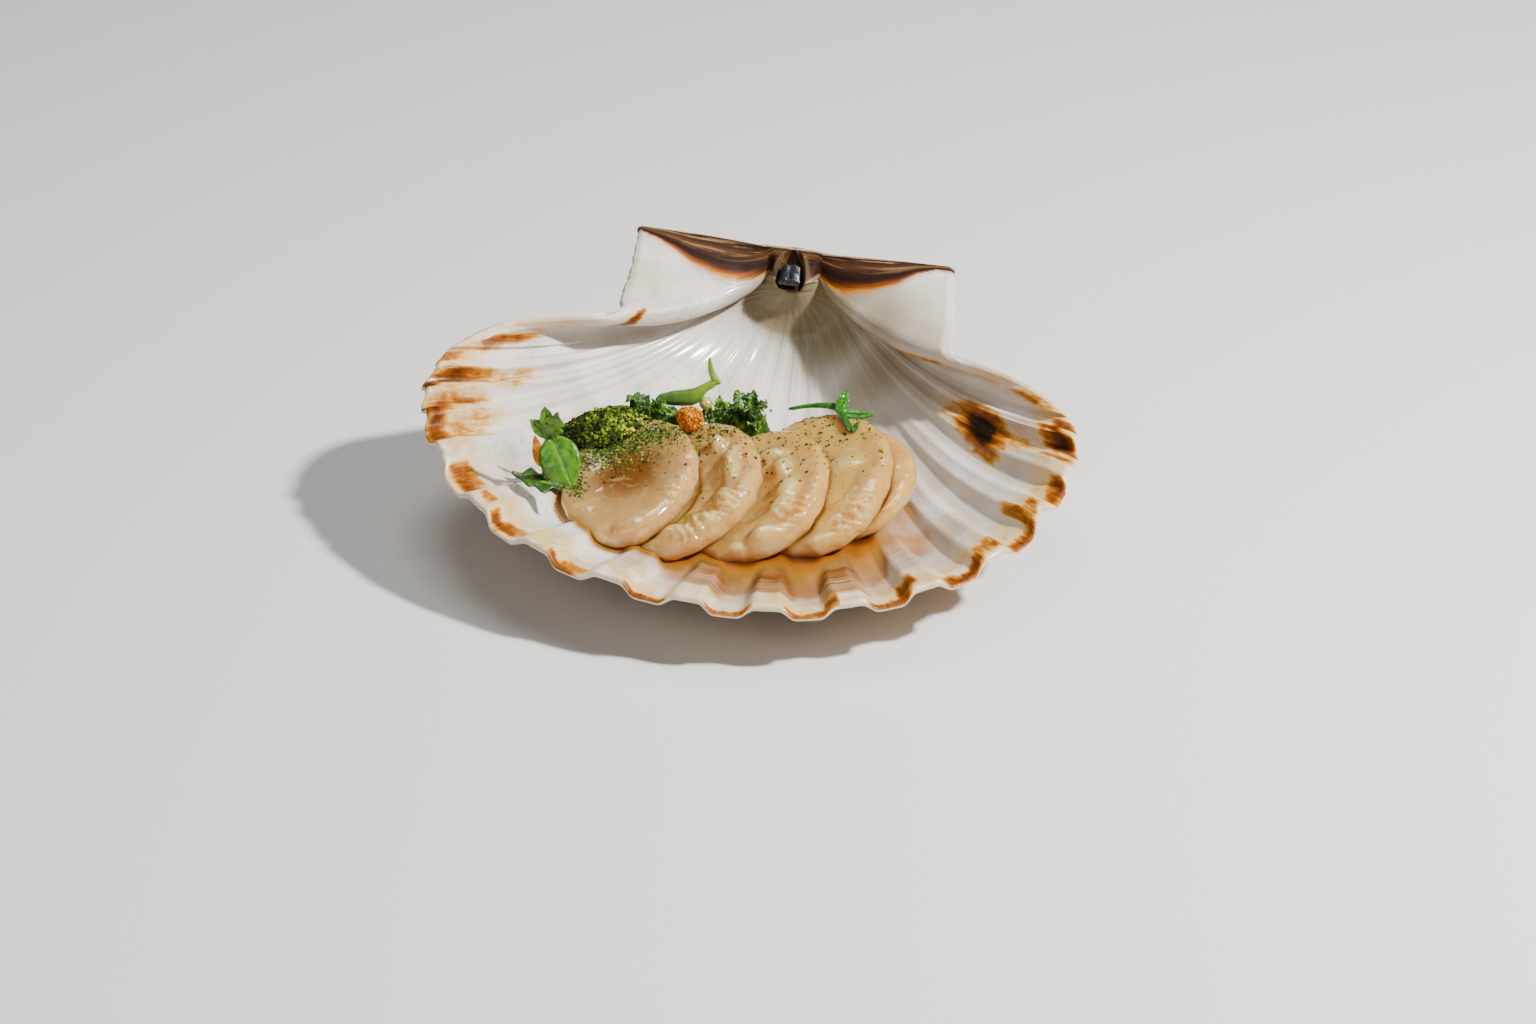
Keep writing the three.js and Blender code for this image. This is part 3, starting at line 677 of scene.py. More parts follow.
@dataclass(frozen=True)
class ShellForm:
    """The shell as a formula: its rim drawn square on, and every point of it led round the hinge on one spiral."""

    tilt: float = 11.93  # degrees by which the hinge side is raised
    roll: float = 3.285
    hinge_centre: Point = (-2.34, 45.65, 35.86)
    disc: tuple[float, float] = (0.8, 50.0)
    disc_radius: float = 62.0
    bulges: tuple[Point, ...] = ((-14, 36, -3.4), (62, 22, 1.1), (-75, 10, 0.9), (-83, 4, 0.9))
    grooves: tuple[float, ...] = (
        -91, -84, -77.8, -71, -55.5, -39.6, -24.3, -8.7, 5.4, 19.5, 33.9, 47.4, 61.8, 75.5, 86.5, 94.5)
    groove_half: float = 0.14
    band_half: float = 0.36
    relief: float = 0.85
    spiral: float = 1.47
    wall: float = 2.2
    hinge_arch: float = 0.8
    cavity_end: float = 1.18
    beak_end: float = 2.6
    heading_step: float = 0.004

    def disc_point(self, degrees: Array | float) -> Array:
        """Rim of the round part, in degrees from straight ahead."""
        degrees = np.asarray(degrees, float)
        swell = sum(by * bell(degrees, at, width) for at, width, by in self.bulges)
        angle, radius = np.radians(degrees), self.disc_radius + swell
        return np.stack([self.disc[0] + radius * np.sin(angle), self.disc[1] + radius * np.cos(angle)], -1)

    def curves(self) -> list[Curve | None]:
        """Stretches of the outline from the left end of the hinge round to its right end; None is the round part."""
        left, right = tuple(self.disc_point(-90.0)), tuple(self.disc_point(90.0))
        return [
            Curve((-33, 0), (-30.2, 15), (-30.8, 26)),
            Curve((-30.8, 26), (-31, 30), (-35.5, 31)),
            Curve((-35.5, 31), (-44, 32.8), (-50, 35.6)),
            Curve((-50, 35.6), (-59.5, 40.8), left),
            None,
            Curve(right, (60.8, 40.2), (51, 34.6)),
            Curve((51, 34.6), (45, 31.6), (39.5, 30.5)),
            Curve((39.5, 30.5), (35.3, 29), (35, 24)),
            Curve((35, 24), (34.8, 12), (33, 1)),
        ]

    def outline(self, u: Array) -> Array:
        """Rim in the rim plane at places u from 0 to 9, one unit a stretch.

        Args:
            u: the places.

        Returns:
            Points, one a row.
        """
        u = np.asarray(u, float)
        stretch = np.clip(np.floor(u), 0, 8).astype(int)
        points = np.zeros(u.shape + (2,))
        for i, curve in enumerate(self.curves()):
            mine = stretch == i
            t = u[mine] - i
            points[mine] = self.disc_point(-90 + 180 * t) if curve is None else curve.at(t)
        return points

    def heading(self, u: Array) -> Array:
        """Direction of the rim."""
        here = self.outline(u)
        total = np.zeros_like(here)
        for sign in (-1, 1):
            total += unit(sign * (self.outline(np.clip(u + sign * self.heading_step, 0, 9)) - here))
        return total

    def direction(self, u: Array) -> Array:
        """Degrees about the middle of the disc, 0 straight ahead."""
        ab = self.outline(u)
        return np.degrees(np.arctan2(ab[..., 0] - self.disc[0], ab[..., 1] - self.disc[1]))

    def share(self, u: Array) -> Array:
        """Place across a fold: 0 in the middle of a groove, a half in the middle of a band.

        Args:
            u: places along the rim.

        Returns:
            Shares of a fold.
        """
        degrees = self.direction(u)
        place = np.interp(degrees, self.grooves, np.arange(len(self.grooves)))
        outside = (degrees < self.grooves[0] - 3) | (degrees > self.grooves[-1] + 3)
        return np.where(outside, (self.groove_half + self.band_half) / 2, np.abs(place - np.round(place)))

    def wave(self, off: Array) -> Array:
        """1 along the bottom of a groove, -1 on top of a band."""
        t = np.clip((off - self.groove_half) / (self.band_half - self.groove_half), 0, 1)
        return np.sin(math.pi / 2 * (1 - 2 * t))

    def swept(self, u: Array, turn: Array) -> tuple[Array, Array, Array]:
        """Middle surface in the rim plane's own frame.

        Args:
            u: places along the rim.
            turn: spiral angles from the rim towards the hinge.

        Returns:
            Points, unit normals into the bowl, and the scale of the spiral.
        """
        ab, head = self.outline(u), self.heading(u)
        a, b, da, db = ab[..., 0], ab[..., 1], head[..., 0], head[..., 1]
        scale, c, s = np.exp(-self.spiral * turn), np.cos(turn), np.sin(turn)
        one = np.ones_like(scale * a)
        points = np.stack([scale * a, -scale * b * c, -scale * b * s], -1)
        across = np.stack([da * one, -db * c, -db * s], -1)
        along = np.stack([-self.spiral * a * one, b * (s + self.spiral * c), -b * (c - self.spiral * s)], -1)
        arch = np.maximum(0, 1 - (a / 33) ** 2) * np.maximum(0, 1 + points[..., 1] / 25) * (b < 32)
        points[..., 2] += self.hinge_arch * arch
        return points, unit(np.cross(across, along)), scale * one

    def posed(self, points: Array) -> Array:
        """Points of the rim plane's frame where the shell lies."""
        return points @ (rotation(1, self.roll) @ rotation(0, self.tilt)).T + np.array(self.hinge_centre) - MIDDLE


# Dyed patches inside the shell: the middle and half width in degrees along the rim, where they start and end
# in millimetres from it, and how dark they are. These fill a fold from side to side.
FOLD_STAINS = (
    (-84, 1.6, 4, 20, 0.3), (-91.5, 1.8, -1, 5, 0.42), (-85, 1.6, 0.8, 13, 0.6), (-82.8, 1.5, -1, 2.5, 0.72),
    (-77.5, 1.4, 0.5, 15, 0.5), (-75.5, 1.6, -1, 5, 0.62), (-70.2, 3.4, 0.2, 4.5, 0.62), (-69.2, 2.8, 3, 16, 0.3),
    (-55.5, 3.6, 1.4, 7, 0.54), (-55, 2.2, 4, 9, 0.42), (-48, 1.6, 2, 5, 0.42), (-41, 3, 0.3, 3.4, 0.56),
    (-39, 2.4, 2, 6, 0.42), (-26, 3, -0.6, 1.7, 0.54), (-24, 2.6, 0.8, 4, 0.4), (-9.5, 3.6, -0.8, 0.9, 0.56),
    (5.4, 3.6, -0.8, 0.8, 0.46), (19.5, 3.4, -0.8, 1.4, 0.54), (23.8, 1, -1, 5.5, 0.54), (34, 3.2, -0.8, 1.6, 0.56),
    (37.6, 1.8, 0.8, 6.5, 0.56), (48.5, 3.8, -0.8, 3.6, 0.54), (55, 2.6, 1.5, 6.5, 0.4),
    (62.5, 3.4, -0.8, 2.6, 0.58), (66.2, 1.1, 1, 12, 0.5), (68.4, 2.2, 1, 7, 0.4), (75.5, 2.8, -0.5, 4.5, 0.56),
    (84, 1.2, 0, 9, 0.5), (88.2, 1.7, 0.2, 8.5, 0.74), (91.5, 0.9, 2, 10, 0.6), (94, 1.8, 0.2, 6.5, 0.6),
    (-121.3, 3.6, 5, 8, 0.56),
)
# These are round with a fading edge.
SOFT_STAINS = (
    (-98, 4, 4, 14, 0.52), (-92, 7, 0, 9, 0.2), (-78, 9, -1, 15, 0.2), (-72, 3, 8, 20, 0.24), (58, 5.5, 2, 12, 0.17),
    (75, 4, 3, 10, 0.2), (101.5, 4.6, 0.4, 8, 0.36), (83.5, 6.6, 22, 37.5, 0.62), (83.3, 4.2, 25, 35, 1.1),
    (84.5, 3, 12, 24, 0.3), (84, 5, 32, 46, 0.22), (-83, 3, 14, 28, 0.3), (117, 2.2, 5, 22, 0.36),
)
# Flat bands dyed tan by the sauce, with a straight edge towards the rim.
TANS = (
    (-16, 3.4, 10.5, 24, 0.6), (-0.8, 4.6, 8.6, 26, 0.95), (13.2, 4.8, 8.6, 28, 1), (26.8, 4.8, 5.2, 28, 1),
    (41.6, 4, 12, 28, 0.6), (55, 3.6, 16, 30, 0.4), (20, 1.6, 6, 30, 0.3), (34, 1.6, 6, 30, 0.3),
)
# Olive-grey painted shade inside the shell, strongest under the hinge and down the right wall, with a patch beside
# the lying leaf and faint darkening of the back wall and left rim: x, y, half width, half depth and how strong.
PAINTED_SHADES = (
    (-1, 53, 16, 8, 1), (10, 47, 12, 8, 1), (19, 37, 10, 10, 0.85), (20, 27, 12, 12, 0.6), (31, 21, 9, 9, 0.4),
    (-8, 46, 12, 7, 0.35), (-4, 50, 22, 12, 0.22), (-48, 8, 12, 10, 0.16), (-52, 2, 9, 14, 0.16),
    (56, 4, 9, 16, 0.35), (46, -18, 12, 14, 0.2), (-42, -16, 6, 9, 0.4),
)


@dataclass
class Dye:
    """Works out the dyed patches inside the shell, with the ragged edges that they share."""

    degrees: Array  # of each vertex along the rim
    depth: Array  # of each vertex from the rim, in millimetres
    strength: float = 1.15

    def __post_init__(self) -> None:
        """Works out the raggedness."""
        self.spot = np.stack([self.degrees * 0.8, self.depth, np.zeros(len(self.depth))], -1)
        self.ragged = 1.3 * grain(self.spot, 3.4, 5) + 0.5 * grain(self.spot, 1.5, 7)
        self.strokes = grain(self.spot * np.array([1.5, 0.16, 1.0]), 1.1, 13)

    def away(self, at: float, half: float, start: float, end: float, loose: float) -> tuple[Array, Array]:
        """How far each vertex is from the middle of a stain, in shares of its size.

        Args:
            at: middle of the stain along the rim.
            half: its half width there.
            start: where it starts.
            end: where it ends.
            loose: how much its sides wander.

        Returns:
            Shares down from the rim and along it.
        """
        reach = (end - start) / 2
        off = self.depth + 0.8 * self.ragged - start - 0.8 * reach
        off = np.where(off < 0, -off / (reach + 0.4), off / (1.9 * reach))
        return off, np.abs(self.degrees + loose * self.ragged - at) / (1.35 * half)

    def brown(self) -> Array:
        """How brown each vertex is."""
        stain = np.zeros(len(self.depth))
        for *where, dark in FOLD_STAINS:
            off, side = self.away(*where, 0.15)
            patch = (1 - smoothstep(off + 0.35 * self.strokes, 0.1, 1.35)) * (1 - smoothstep(side, 0.6, 1.15))
            stain = np.maximum(stain, patch * dark * self.strength)
        for *where, dark in SOFT_STAINS:
            patch = 1 - smoothstep(np.hypot(*self.away(*where, 0.4)) + 0.2 * self.strokes, 0.25, 1.3)
            stain = np.maximum(stain, patch * dark * self.strength)
        return stain

    def tan(self) -> Array:
        """How tan each vertex is."""
        tan = np.zeros(len(self.depth))
        for at, half, start, end, dark in TANS:
            along = smoothstep(self.depth + 0.25 * self.ragged, start - 0.3, start + 0.5)
            along = along * (1 - smoothstep(self.depth, end - 4, end))
            across = 1 - smoothstep(np.abs(self.degrees + 0.3 * self.ragged - at) / half, 0.66, 1.25)
            tan = np.maximum(tan, along * across * dark)
        return tan


@dataclass
class Net:
    """Points and faces of a mesh in the making."""

    points: list[Array] = field(default_factory=list)
    faces: list[tuple[int, ...]] = field(default_factory=list)
    count: int = 0

    def add(self, extra: Array) -> Array:
        """Adds points and gives back their numbers."""
        self.points.append(extra)
        self.count += len(extra)
        return np.arange(self.count - len(extra), self.count)

    def every(self) -> Array:
        """All points so far, one a row."""
        return np.concatenate(self.points)


@dataclass
class Shell:
    """The half shell: folds, hinge plate, ears and a worn rim."""

    form: ShellForm = field(default_factory=ShellForm)
    columns: tuple[int, ...] = (34, 14, 20, 26, 276, 26, 20, 14, 34)  # a stretch of the rim
    ear_end: float = 1.5  # place along the rim where an ear meets the bowl, from either end
    inner_rows: int = 84
    outer_rows: int = 72
    row_crowding: float = 1.3  # how much closer rows lie at the rim
    lip_rows: int = 7
    lip: float = 1.2  # width over which the rim is rounded
    lip_thinning: float = 0.75  # share by which the inner face falls towards the rim
    rim_length: float = 199.0  # millimetres a radian of spiral at the front
    plate_front: float = 6.9
    plate_drop: float = 3.7
    plate_end: tuple[float, float] = (1.16, 1.2)  # how far down the ears the brown reaches beside the pit
    wall_hollow: float = 1.6
    pit_half: float = 3.2
    pit_top: float = 0.4
    pit_depth: float = 1.8
    ledge_columns: int = 84
    wall_rows: int = 10
    sharp: float = 50.0  # degrees; sharper edges stay sharp

    def places(self) -> Array:
        """Places of the mesh's columns along the rim."""
        return np.concatenate([*(np.arange(n) / n + i for i, n in enumerate(self.columns)), [9.0]])

    def fall(self, rows: int, end: float) -> Array:
        """Spiral angles of rows that start at the rim and stop at an end."""
        share = (np.arange(rows) / (rows - 1)) ** self.row_crowding
        return -np.log(1 - share * (1 - math.exp(-self.form.spiral * end))) / self.form.spiral

    def rows(self) -> tuple[Array, Array]:
        """Spiral angle and side of each row: the inner face from the hinge to the rim, the lip, the outer face."""
        lip_turn = self.lip / self.rim_length
        inner = lip_turn + self.fall(self.inner_rows, self.form.cavity_end) * (1 - lip_turn / self.form.cavity_end)
        angle = np.linspace(0, math.pi, self.lip_rows + 2)[1:-1]
        outer = lip_turn + self.fall(self.outer_rows, self.form.beak_end)
        return (np.concatenate([inner[::-1], lip_turn * (1 - np.sin(angle)), outer]),
                np.concatenate([np.ones(self.inner_rows), np.cos(angle), -np.ones(self.outer_rows)]))

    def nibbled(self, u: Array) -> Array:
        """How far the rim is worn back at each place, in millimetres.

        Args:
            u: places along the rim.

        Returns:
            Lengths.
        """
        degrees = self.form.direction(u)
        line = np.stack([degrees, u * 40, np.zeros_like(u)], -1)
        wear = 0.22 + 0.22 * grain(line, 3.2, 1) + 0.12 * grain(line, 1.3, 2)
        rough_right = smoothstep(degrees, 66, 74) * (1 - smoothstep(degrees, 100, 108))
        rough_left = smoothstep(-degrees, 58, 64) * (1 - smoothstep(-degrees, 96, 104))
        wear += (0.5 * rough_right + 0.28 * rough_left) * np.abs(grain(line, 1.7, 3)) * 2
        wear += 1.5 * bell(degrees, 69.5, 1.2) + 0.7 * bell(degrees, -63.5, 1.0)
        wear += (np.clip(1.2 - u, 0, 1) + np.clip(u - 7.8, 0, 1)) * (0.35 + 0.5 * grain(line, 1.4, 4))
        return np.clip(wear, 0, 3)

    def ear_edge(self, u: Array) -> Array:
        """How far the ears' side edges are nicked and swollen along the hinge, in millimetres.

        Args:
            u: places along the rim.

        Returns:
            Lengths.
        """
        line = np.stack([u * 9, np.zeros_like(u), np.zeros_like(u)], -1)
        wobble = grain(line, 2.6, 11) + 0.5 * grain(line, 0.9, 12)
        wobble += np.where(u < 4.5, -0.5 * bell(u, 0.85, 0.12), 0.4 * bell(u, 8.05, 0.1))
        end = np.minimum(u, 9 - u)
        return wobble * (1 - smoothstep(end, 1.15, 1.5)) * smoothstep(end, 0, 0.08)

    def surface(self, u: Array, turn: Array, side: Array) -> Array:
        """Points of the wall.

        Args:
            u: places along the rim, one a column.
            turn: spiral angle of each row.
            side: 1 for the inner face, -1 for the outer, and between them round the lip.

        Returns:
            Points in the rim plane's frame, row by row.
        """
        form = self.form
        turn, side = turn[:, None], side[:, None]
        back = self.nibbled(u) / (np.hypot(*form.outline(u).T) * math.hypot(1, form.spiral))
        turn = turn + back * (1 - smoothstep(turn, 0, 0.05))
        middle, normal, scale = form.swept(u[None, :], turn)
        middle[..., 0] += self.ear_edge(u) * (1 - smoothstep(turn, 0, 0.09))
        off = form.share(u)[None, :] * np.ones_like(scale)
        wave = form.wave(off)
        crest = 0.16 * bell(off, form.band_half, 0.05) - 0.12 * np.clip(1 - (off / 0.16) ** 2, 0, 1)
        fade = smoothstep(scale, 0.3, 0.8)
        ridge = bell(np.minimum(np.abs(u - self.ear_end), np.abs(u - 9 + self.ear_end)), 0, 0.7)
        ridge = ridge * smoothstep(1 - scale, 0, 0.35) * smoothstep(scale, 0.1, 0.3)
        worn = 1 - self.lip_thinning * (1 - smoothstep(1 - scale, 0, 0.055))
        inner = form.wall / 2 * smoothstep(scale, -0.15, 0.3) * worn + ridge
        inner = inner - (wave * form.relief - crest) * scale**0.8 * (0.25 + 0.75 * fade)
        outer = -form.wall / 2 * smoothstep(scale, -0.05, 0.25) - wave * form.relief * scale**0.8
        inner -= 0.3 * (np.sign(wave) * np.abs(wave) ** 0.6 - 0.5 * wave) * smoothstep(scale, 0.72, 0.97)
        height = inner * (1 + side) / 2 + outer * (1 - side) / 2
        return middle + normal * height[..., None]

    def pit_width(self, down: float) -> float:
        """Half width of the pit, at a share of the way down the ledge."""
        return self.pit_top + (self.pit_half - self.pit_top) * math.sqrt(down)

    def ledge_point(self, x: Array, down: float, front: Array) -> Array:
        """The ledge under the hinge with its three-cornered pit.

        Args:
            x: places across.
            down: share of the way from the hinge line to the front edge.
            front: how far forward the front edge is.

        Returns:
            Points in the rim plane's frame.
        """
        pit = smoothstep(down, 0, 0.4) * (1 - smoothstep(np.abs(x) / self.pit_width(down), 0.6, 1.05))
        height = 0.35 + 0.55 * min(1, down * 4) - (0.9 + self.plate_drop) * down - self.pit_depth * pit
        return np.stack([x, -(0.9 + (front - 0.9) * down), height], -1)

    def ledge(self, net: Net, u: Array) -> list[list[int]]:
        """Adds the ledge between the ears.

        Args:
            net: the mesh; it starts with the row of points nearest the hinge.
            u: places of the columns.

        Returns:
            Vertices of each row, from the hinge line to the front edge.
        """
        first, last = net.points[0], len(u) - 1
        ear = [i for i in range(len(u)) if u[i] <= self.ear_end + 1e-9]
        across = np.arange(1, self.ledge_columns + 1) / (self.ledge_columns + 1)
        bow = np.sqrt(1 - (2 * across - 1) ** 2)
        weight = smoothstep(np.minimum(across, 1 - across), 0, 0.14)[:, None]
        ledge = []
        for k, i in enumerate(ear):
            down = k / (len(ear) - 1)
            p, q = first[i], first[last - i]
            level = -p[1] + (p[1] - q[1]) * across
            front = level + (self.plate_front - level) * down * bow
            line = p + (q - p) * across[:, None]
            inside = net.add(line * (1 - weight) + self.ledge_point(line[:, 0], down, front) * weight)
            ledge.append([i, *inside.tolist(), last - i])
        for upper, lower in zip(ledge, ledge[1:]):
            net.faces += [(upper[j], lower[j], lower[j + 1], upper[j + 1]) for j in range(len(upper) - 1)]
        return ledge

    def wall(self, net: Net, u: Array, front: list[int]) -> list[tuple[list[int], list[int]]]:
        """Adds the wall from the ledge's front edge down to the bowl.

        Args:
            net: the mesh.
            u: places of the columns.
            front: vertices of the front edge.

        Returns:
            For each row, vertices of the bowl's edge and those that continue them.
        """
        edge = [i for i in range(len(u)) if self.ear_end - 1e-9 <= u[i] <= 9 - self.ear_end + 1e-9]
        points = net.every()
        t_front = np.linspace(0, 1, len(front))
        t_low = (u[edge] - self.ear_end) / (9 - 2 * self.ear_end)
        low = points[edge]
        top = np.stack([np.interp(t_low, t_front, points[front, k]) for k in range(3)], -1)
        bulge = np.sin(math.pi * t_low)[:, None] * np.array([0, 1, -0.4]) * self.wall_hollow
        hosts, previous = [], edge
        for row in range(1, self.wall_rows):
            rise = row / self.wall_rows
            ids = net.add(low + (top - low) * rise + bulge * 4 * rise * (1 - rise)).tolist()
            ids[0], ids[-1] = previous[0], previous[-1]
            hosts.append((edge, ids))
            net.faces += [tuple(dict.fromkeys((previous[j], previous[j + 1], ids[j + 1], ids[j])))
                          for j in range(len(ids) - 1)]
            previous = ids
        net.faces += zip_rows(list(zip(previous, t_low)), list(zip(front, t_front)))
        return hosts

    def back(self, net: Net, hinge_line: list[int], columns: int, pole: int) -> None:
        """Closes the shell behind the hinge.

        Args:
            net: the mesh.
            hinge_line: vertices of the ledge's first row.
            columns: how many the wall has.
            pole: the vertex at the tip of the beak.
        """
        points = net.every()
        rim_row = self.inner_rows + self.lip_rows // 2
        left = [row * columns for row in range(self.inner_rows + self.lip_rows + self.outer_rows)]
        right = [vertex + columns - 1 for vertex in left]
        upper = left[rim_row::-1] + hinge_line[1:-1] + right[: rim_row + 1]
        lower = left[rim_row:] + [pole] + right[: rim_row - 1 : -1]
        net.faces += zip_rows(*(list(zip(line, np.maximum.accumulate(points[line, 0]))) for line in (upper, lower)))

    def hinge(self, flat: Array, ledge: list[list[int]]) -> Array:
        """What the hinge plate's finish reads on the ledge.

        Args:
            flat: every vertex in the rim plane's frame.
            ledge: vertices of its rows.

        Returns:
            Of every vertex, whether it is on the ledge, how far down it, and how pale.
        """
        hinge = np.zeros((len(flat), 3))
        for k, line in enumerate(ledge):
            down, line = k / (len(ledge) - 1), line[1:-1]
            x = np.abs(flat[line, 0])
            away = x / self.pit_width(down)
            edge = np.interp(x, [2.6, 4.2, 6.5], [0.98, 0.9, self.plate_end[0] / self.ear_end])
            pit = 1 - smoothstep(away, 0.85, 1.15)
            wedge = 1 - smoothstep(x / (0.3 + 3.6 * down), 0.75, 1.1)
            streak = np.clip(0.04 + down / edge, 0, 1) * (1 - pit) + (0.28 + 0.34 * wedge) * pit
            hinge[line, 0] = np.maximum(1 - smoothstep(down / edge, 0.96, 1.1), pit)
            hinge[line, 1] = np.minimum(streak, np.interp(x, [6.0, 9.0], [0.72, 1.0]))
            hinge[line, 2] = 0.35 * bell(away, 1.2, 0.16) * smoothstep(down, 0.1, 0.4)
        return hinge

    def build(self) -> Piece:
        """Builds the shell's mesh and paints what its finishes read."""
        u, (turns, sides) = self.places(), self.rows()
        n, net = len(u), Net()
        net.add(self.surface(u, turns, sides).reshape(-1, 3))
        sheet = net.count
        net.faces += [f[::-1] for f in grid_faces(len(turns), n)]
        pole = int(net.add(np.array([[0, 0.6, -0.5]]))[0])
        net.faces += [(sheet - n + i + 1, sheet - n + i, pole) for i in range(n - 1)]
        ledge = self.ledge(net, u)
        hosts = self.wall(net, u, ledge[-1])
        self.back(net, ledge[0], n, pole)
        flat = net.every()
        posed = self.form.posed(flat)
        posed[:, 2] = np.maximum(posed[:, 2], 0)
        piece = new_mesh("shell_body", posed, net.faces)
        face_out(piece)
        host = np.arange(net.count)
        host[sheet:] = 0
        for owner, ids in hosts:
            host[ids] = owner
        self.paint(piece, u, turns, sides, flat, posed, self.hinge(flat, ledge), host)
        finished(piece, Nacre().material(), OuterShell().material(), degrees=self.sharp)
        outer = (self.inner_rows + self.lip_rows) * n
        piece.data.polygons.foreach_set("material_index", [
            int(min(p.vertices) >= outer and max(p.vertices) <= pole) for p in piece.data.polygons])
        return piece

    def paint(self, piece: Piece, u: Array, turns: Array, sides: Array, flat: Array, posed: Array, hinge: Array,
              host: Array) -> None:
        """Stores the stains, the hinge plate's streaks, the painted shade under the hinge and down the right wall,
        and the sauce's reach.

        Args:
            piece: the shell.
            u: places of the columns.
            turns: spiral angle of each row.
            sides: face of each row.
            flat: every vertex in the rim plane's frame.
            posed: every vertex where it lies.
            hinge: of every vertex, whether it is on the ledge, how far down it, and how pale.
            host: the vertex of the wall's own rows that each vertex continues.
        """
        form, sheet = self.form, len(u) * len(turns)
        scale = np.exp(-form.spiral * turns)
        reach = np.hypot(*form.outline(u).T) * math.hypot(1, form.spiral) / form.spiral
        degrees = np.tile(form.direction(u), len(turns))[host]
        depth = ((1 - scale)[:, None] * reach[None, :]).ravel()[host]
        inside = np.ones(len(flat))
        inside[:sheet] = np.repeat(smoothstep(sides, -0.6, 0.2), len(u))
        dye = Dye(degrees, depth)
        paint(piece, stain=dye.brown() * inside, tan=dye.tan() * inside,
              rim=(1 - smoothstep(depth, 6, 16)) * inside * (1 - 0.8 * smoothstep(np.abs(degrees), 108, 118)),
              margin=1 - smoothstep(depth + 1.2 * grain(dye.spot, 4, 8), 2.6, 5.0))

        # How far down the ears the hinge plate reaches, at each scale of the spiral.
        place_u, row_scale = np.tile(u, len(turns)), np.repeat(scale, len(u))
        left = np.interp(row_scale, [0.18, 0.28, 0.36, 0.46, 0.54, 0.63, 0.74, 0.85, 0.97],
                         [self.plate_end[0], 0.95, 0.8, 0.64, 0.51, 0.4, 0.23, 0.12, 0.05])
        right = np.interp(row_scale, [0.18, 0.26, 0.34, 0.415, 0.49, 0.56, 0.64, 0.7, 0.76, 0.87, 1.0],
                          [self.plate_end[1], 1.12, 0.93, 0.76, 0.63, 0.5, 0.38, 0.27, 0.17, 0.08, 0.08])
        down = np.minimum(place_u / left, (9 - place_u) / right)
        plate, streak, fan = hinge.T
        plate[:sheet] = (1 - smoothstep(down + 0.05 * grain(flat[:sheet], 2.2, 14), 0.98, 1.22)) * inside[:sheet]
        streak[:sheet] = np.clip(down, 0, 1)
        wet = smoothstep(9.3 - posed[:, 2] + 0.5 * grain(posed, 3.0, 6), -0.2, 1.6) * inside
        paint(piece, plate=plate, streak=streak, fan=fan, wet=wet * smoothstep(-posed[:, 1], 8, 14))

        # Painted shade, olive-grey, from the table above.
        shade = np.zeros(len(flat))
        for *where, amount in PAINTED_SHADES:
            shade = np.maximum(shade, amount * hill(posed, *where))
        # The ledge under the hinge and the wall below it get full painted shade.
        shade[sheet:] = 1
        # Green-grey specks: dust on the back wall, and a denser patch round the lying leaf that is also painted
        # shadow under it.
        dust = np.maximum(hill(posed, -12, 22, 16, 16), 1.5 * hill(posed, -41, -16, 7, 9))
        paint(piece, shade=shade * inside, dust=dust * inside * 0.6, pearl=hill(posed, -18, 35, 15, 11) * inside)

        spread = np.cumsum(np.r_[0, np.linalg.norm(np.diff(form.outline(u), axis=0), axis=1)])
        on_plate = plate > 0.01
        from_pit = 1 + 1.8 * np.exp(-np.abs(flat[:, 0]) / 4.5)
        flow(piece, np.where(on_plate, flat[:, 0], np.tile(spread, len(turns))[host]),
             np.where(on_plate, streak * from_pit, depth))


@dataclass
class Ligament:
    """The black pad in the pit of the hinge."""

    node: str = "ligament"
    cell: float = 0.14
    rounds: int = 40
    groove: float = 0.28

    def build(self) -> Piece:
        """Builds the pad with a groove down its middle."""
        piece = copy_of(self.node, "ligament_pad")
        remesh(piece, self.cell, self.rounds)
        points = points_of(piece)
        low, high = points.min(0), points.max(0)
        across = (points[:, 0] - (low[0] + high[0]) / 2) / (high[0] - low[0]) * 2
        dent = self.groove * bell(across, 0, 0.22) * np.clip(normals_of(piece)[:, 2], 0, 1)
        swell(piece, 0.05 * grain(points, 0.8) - dent)
        return finished(piece, self.material())

    def material(self) -> Material:
        """Black, leathery and damp."""
        pen = Pen("ligament")
        pen.surface(Base_Color=pen.ramp(pen.noise(0.8, 3), (0.35, "#07090c"), (0.6, "#101419"), (0.8, "#2a3037")),
                    Roughness=0.4, Coat_Weight=0.3, Coat_Roughness=0.12)
        pen.bump(pen.noise(1.2, 2), 0.25, coat=True)
        pen.bump(pen.noise(0.3, 3), 0.06)
        return pen.material


# ------------------------------------------------------------------ scallop slices


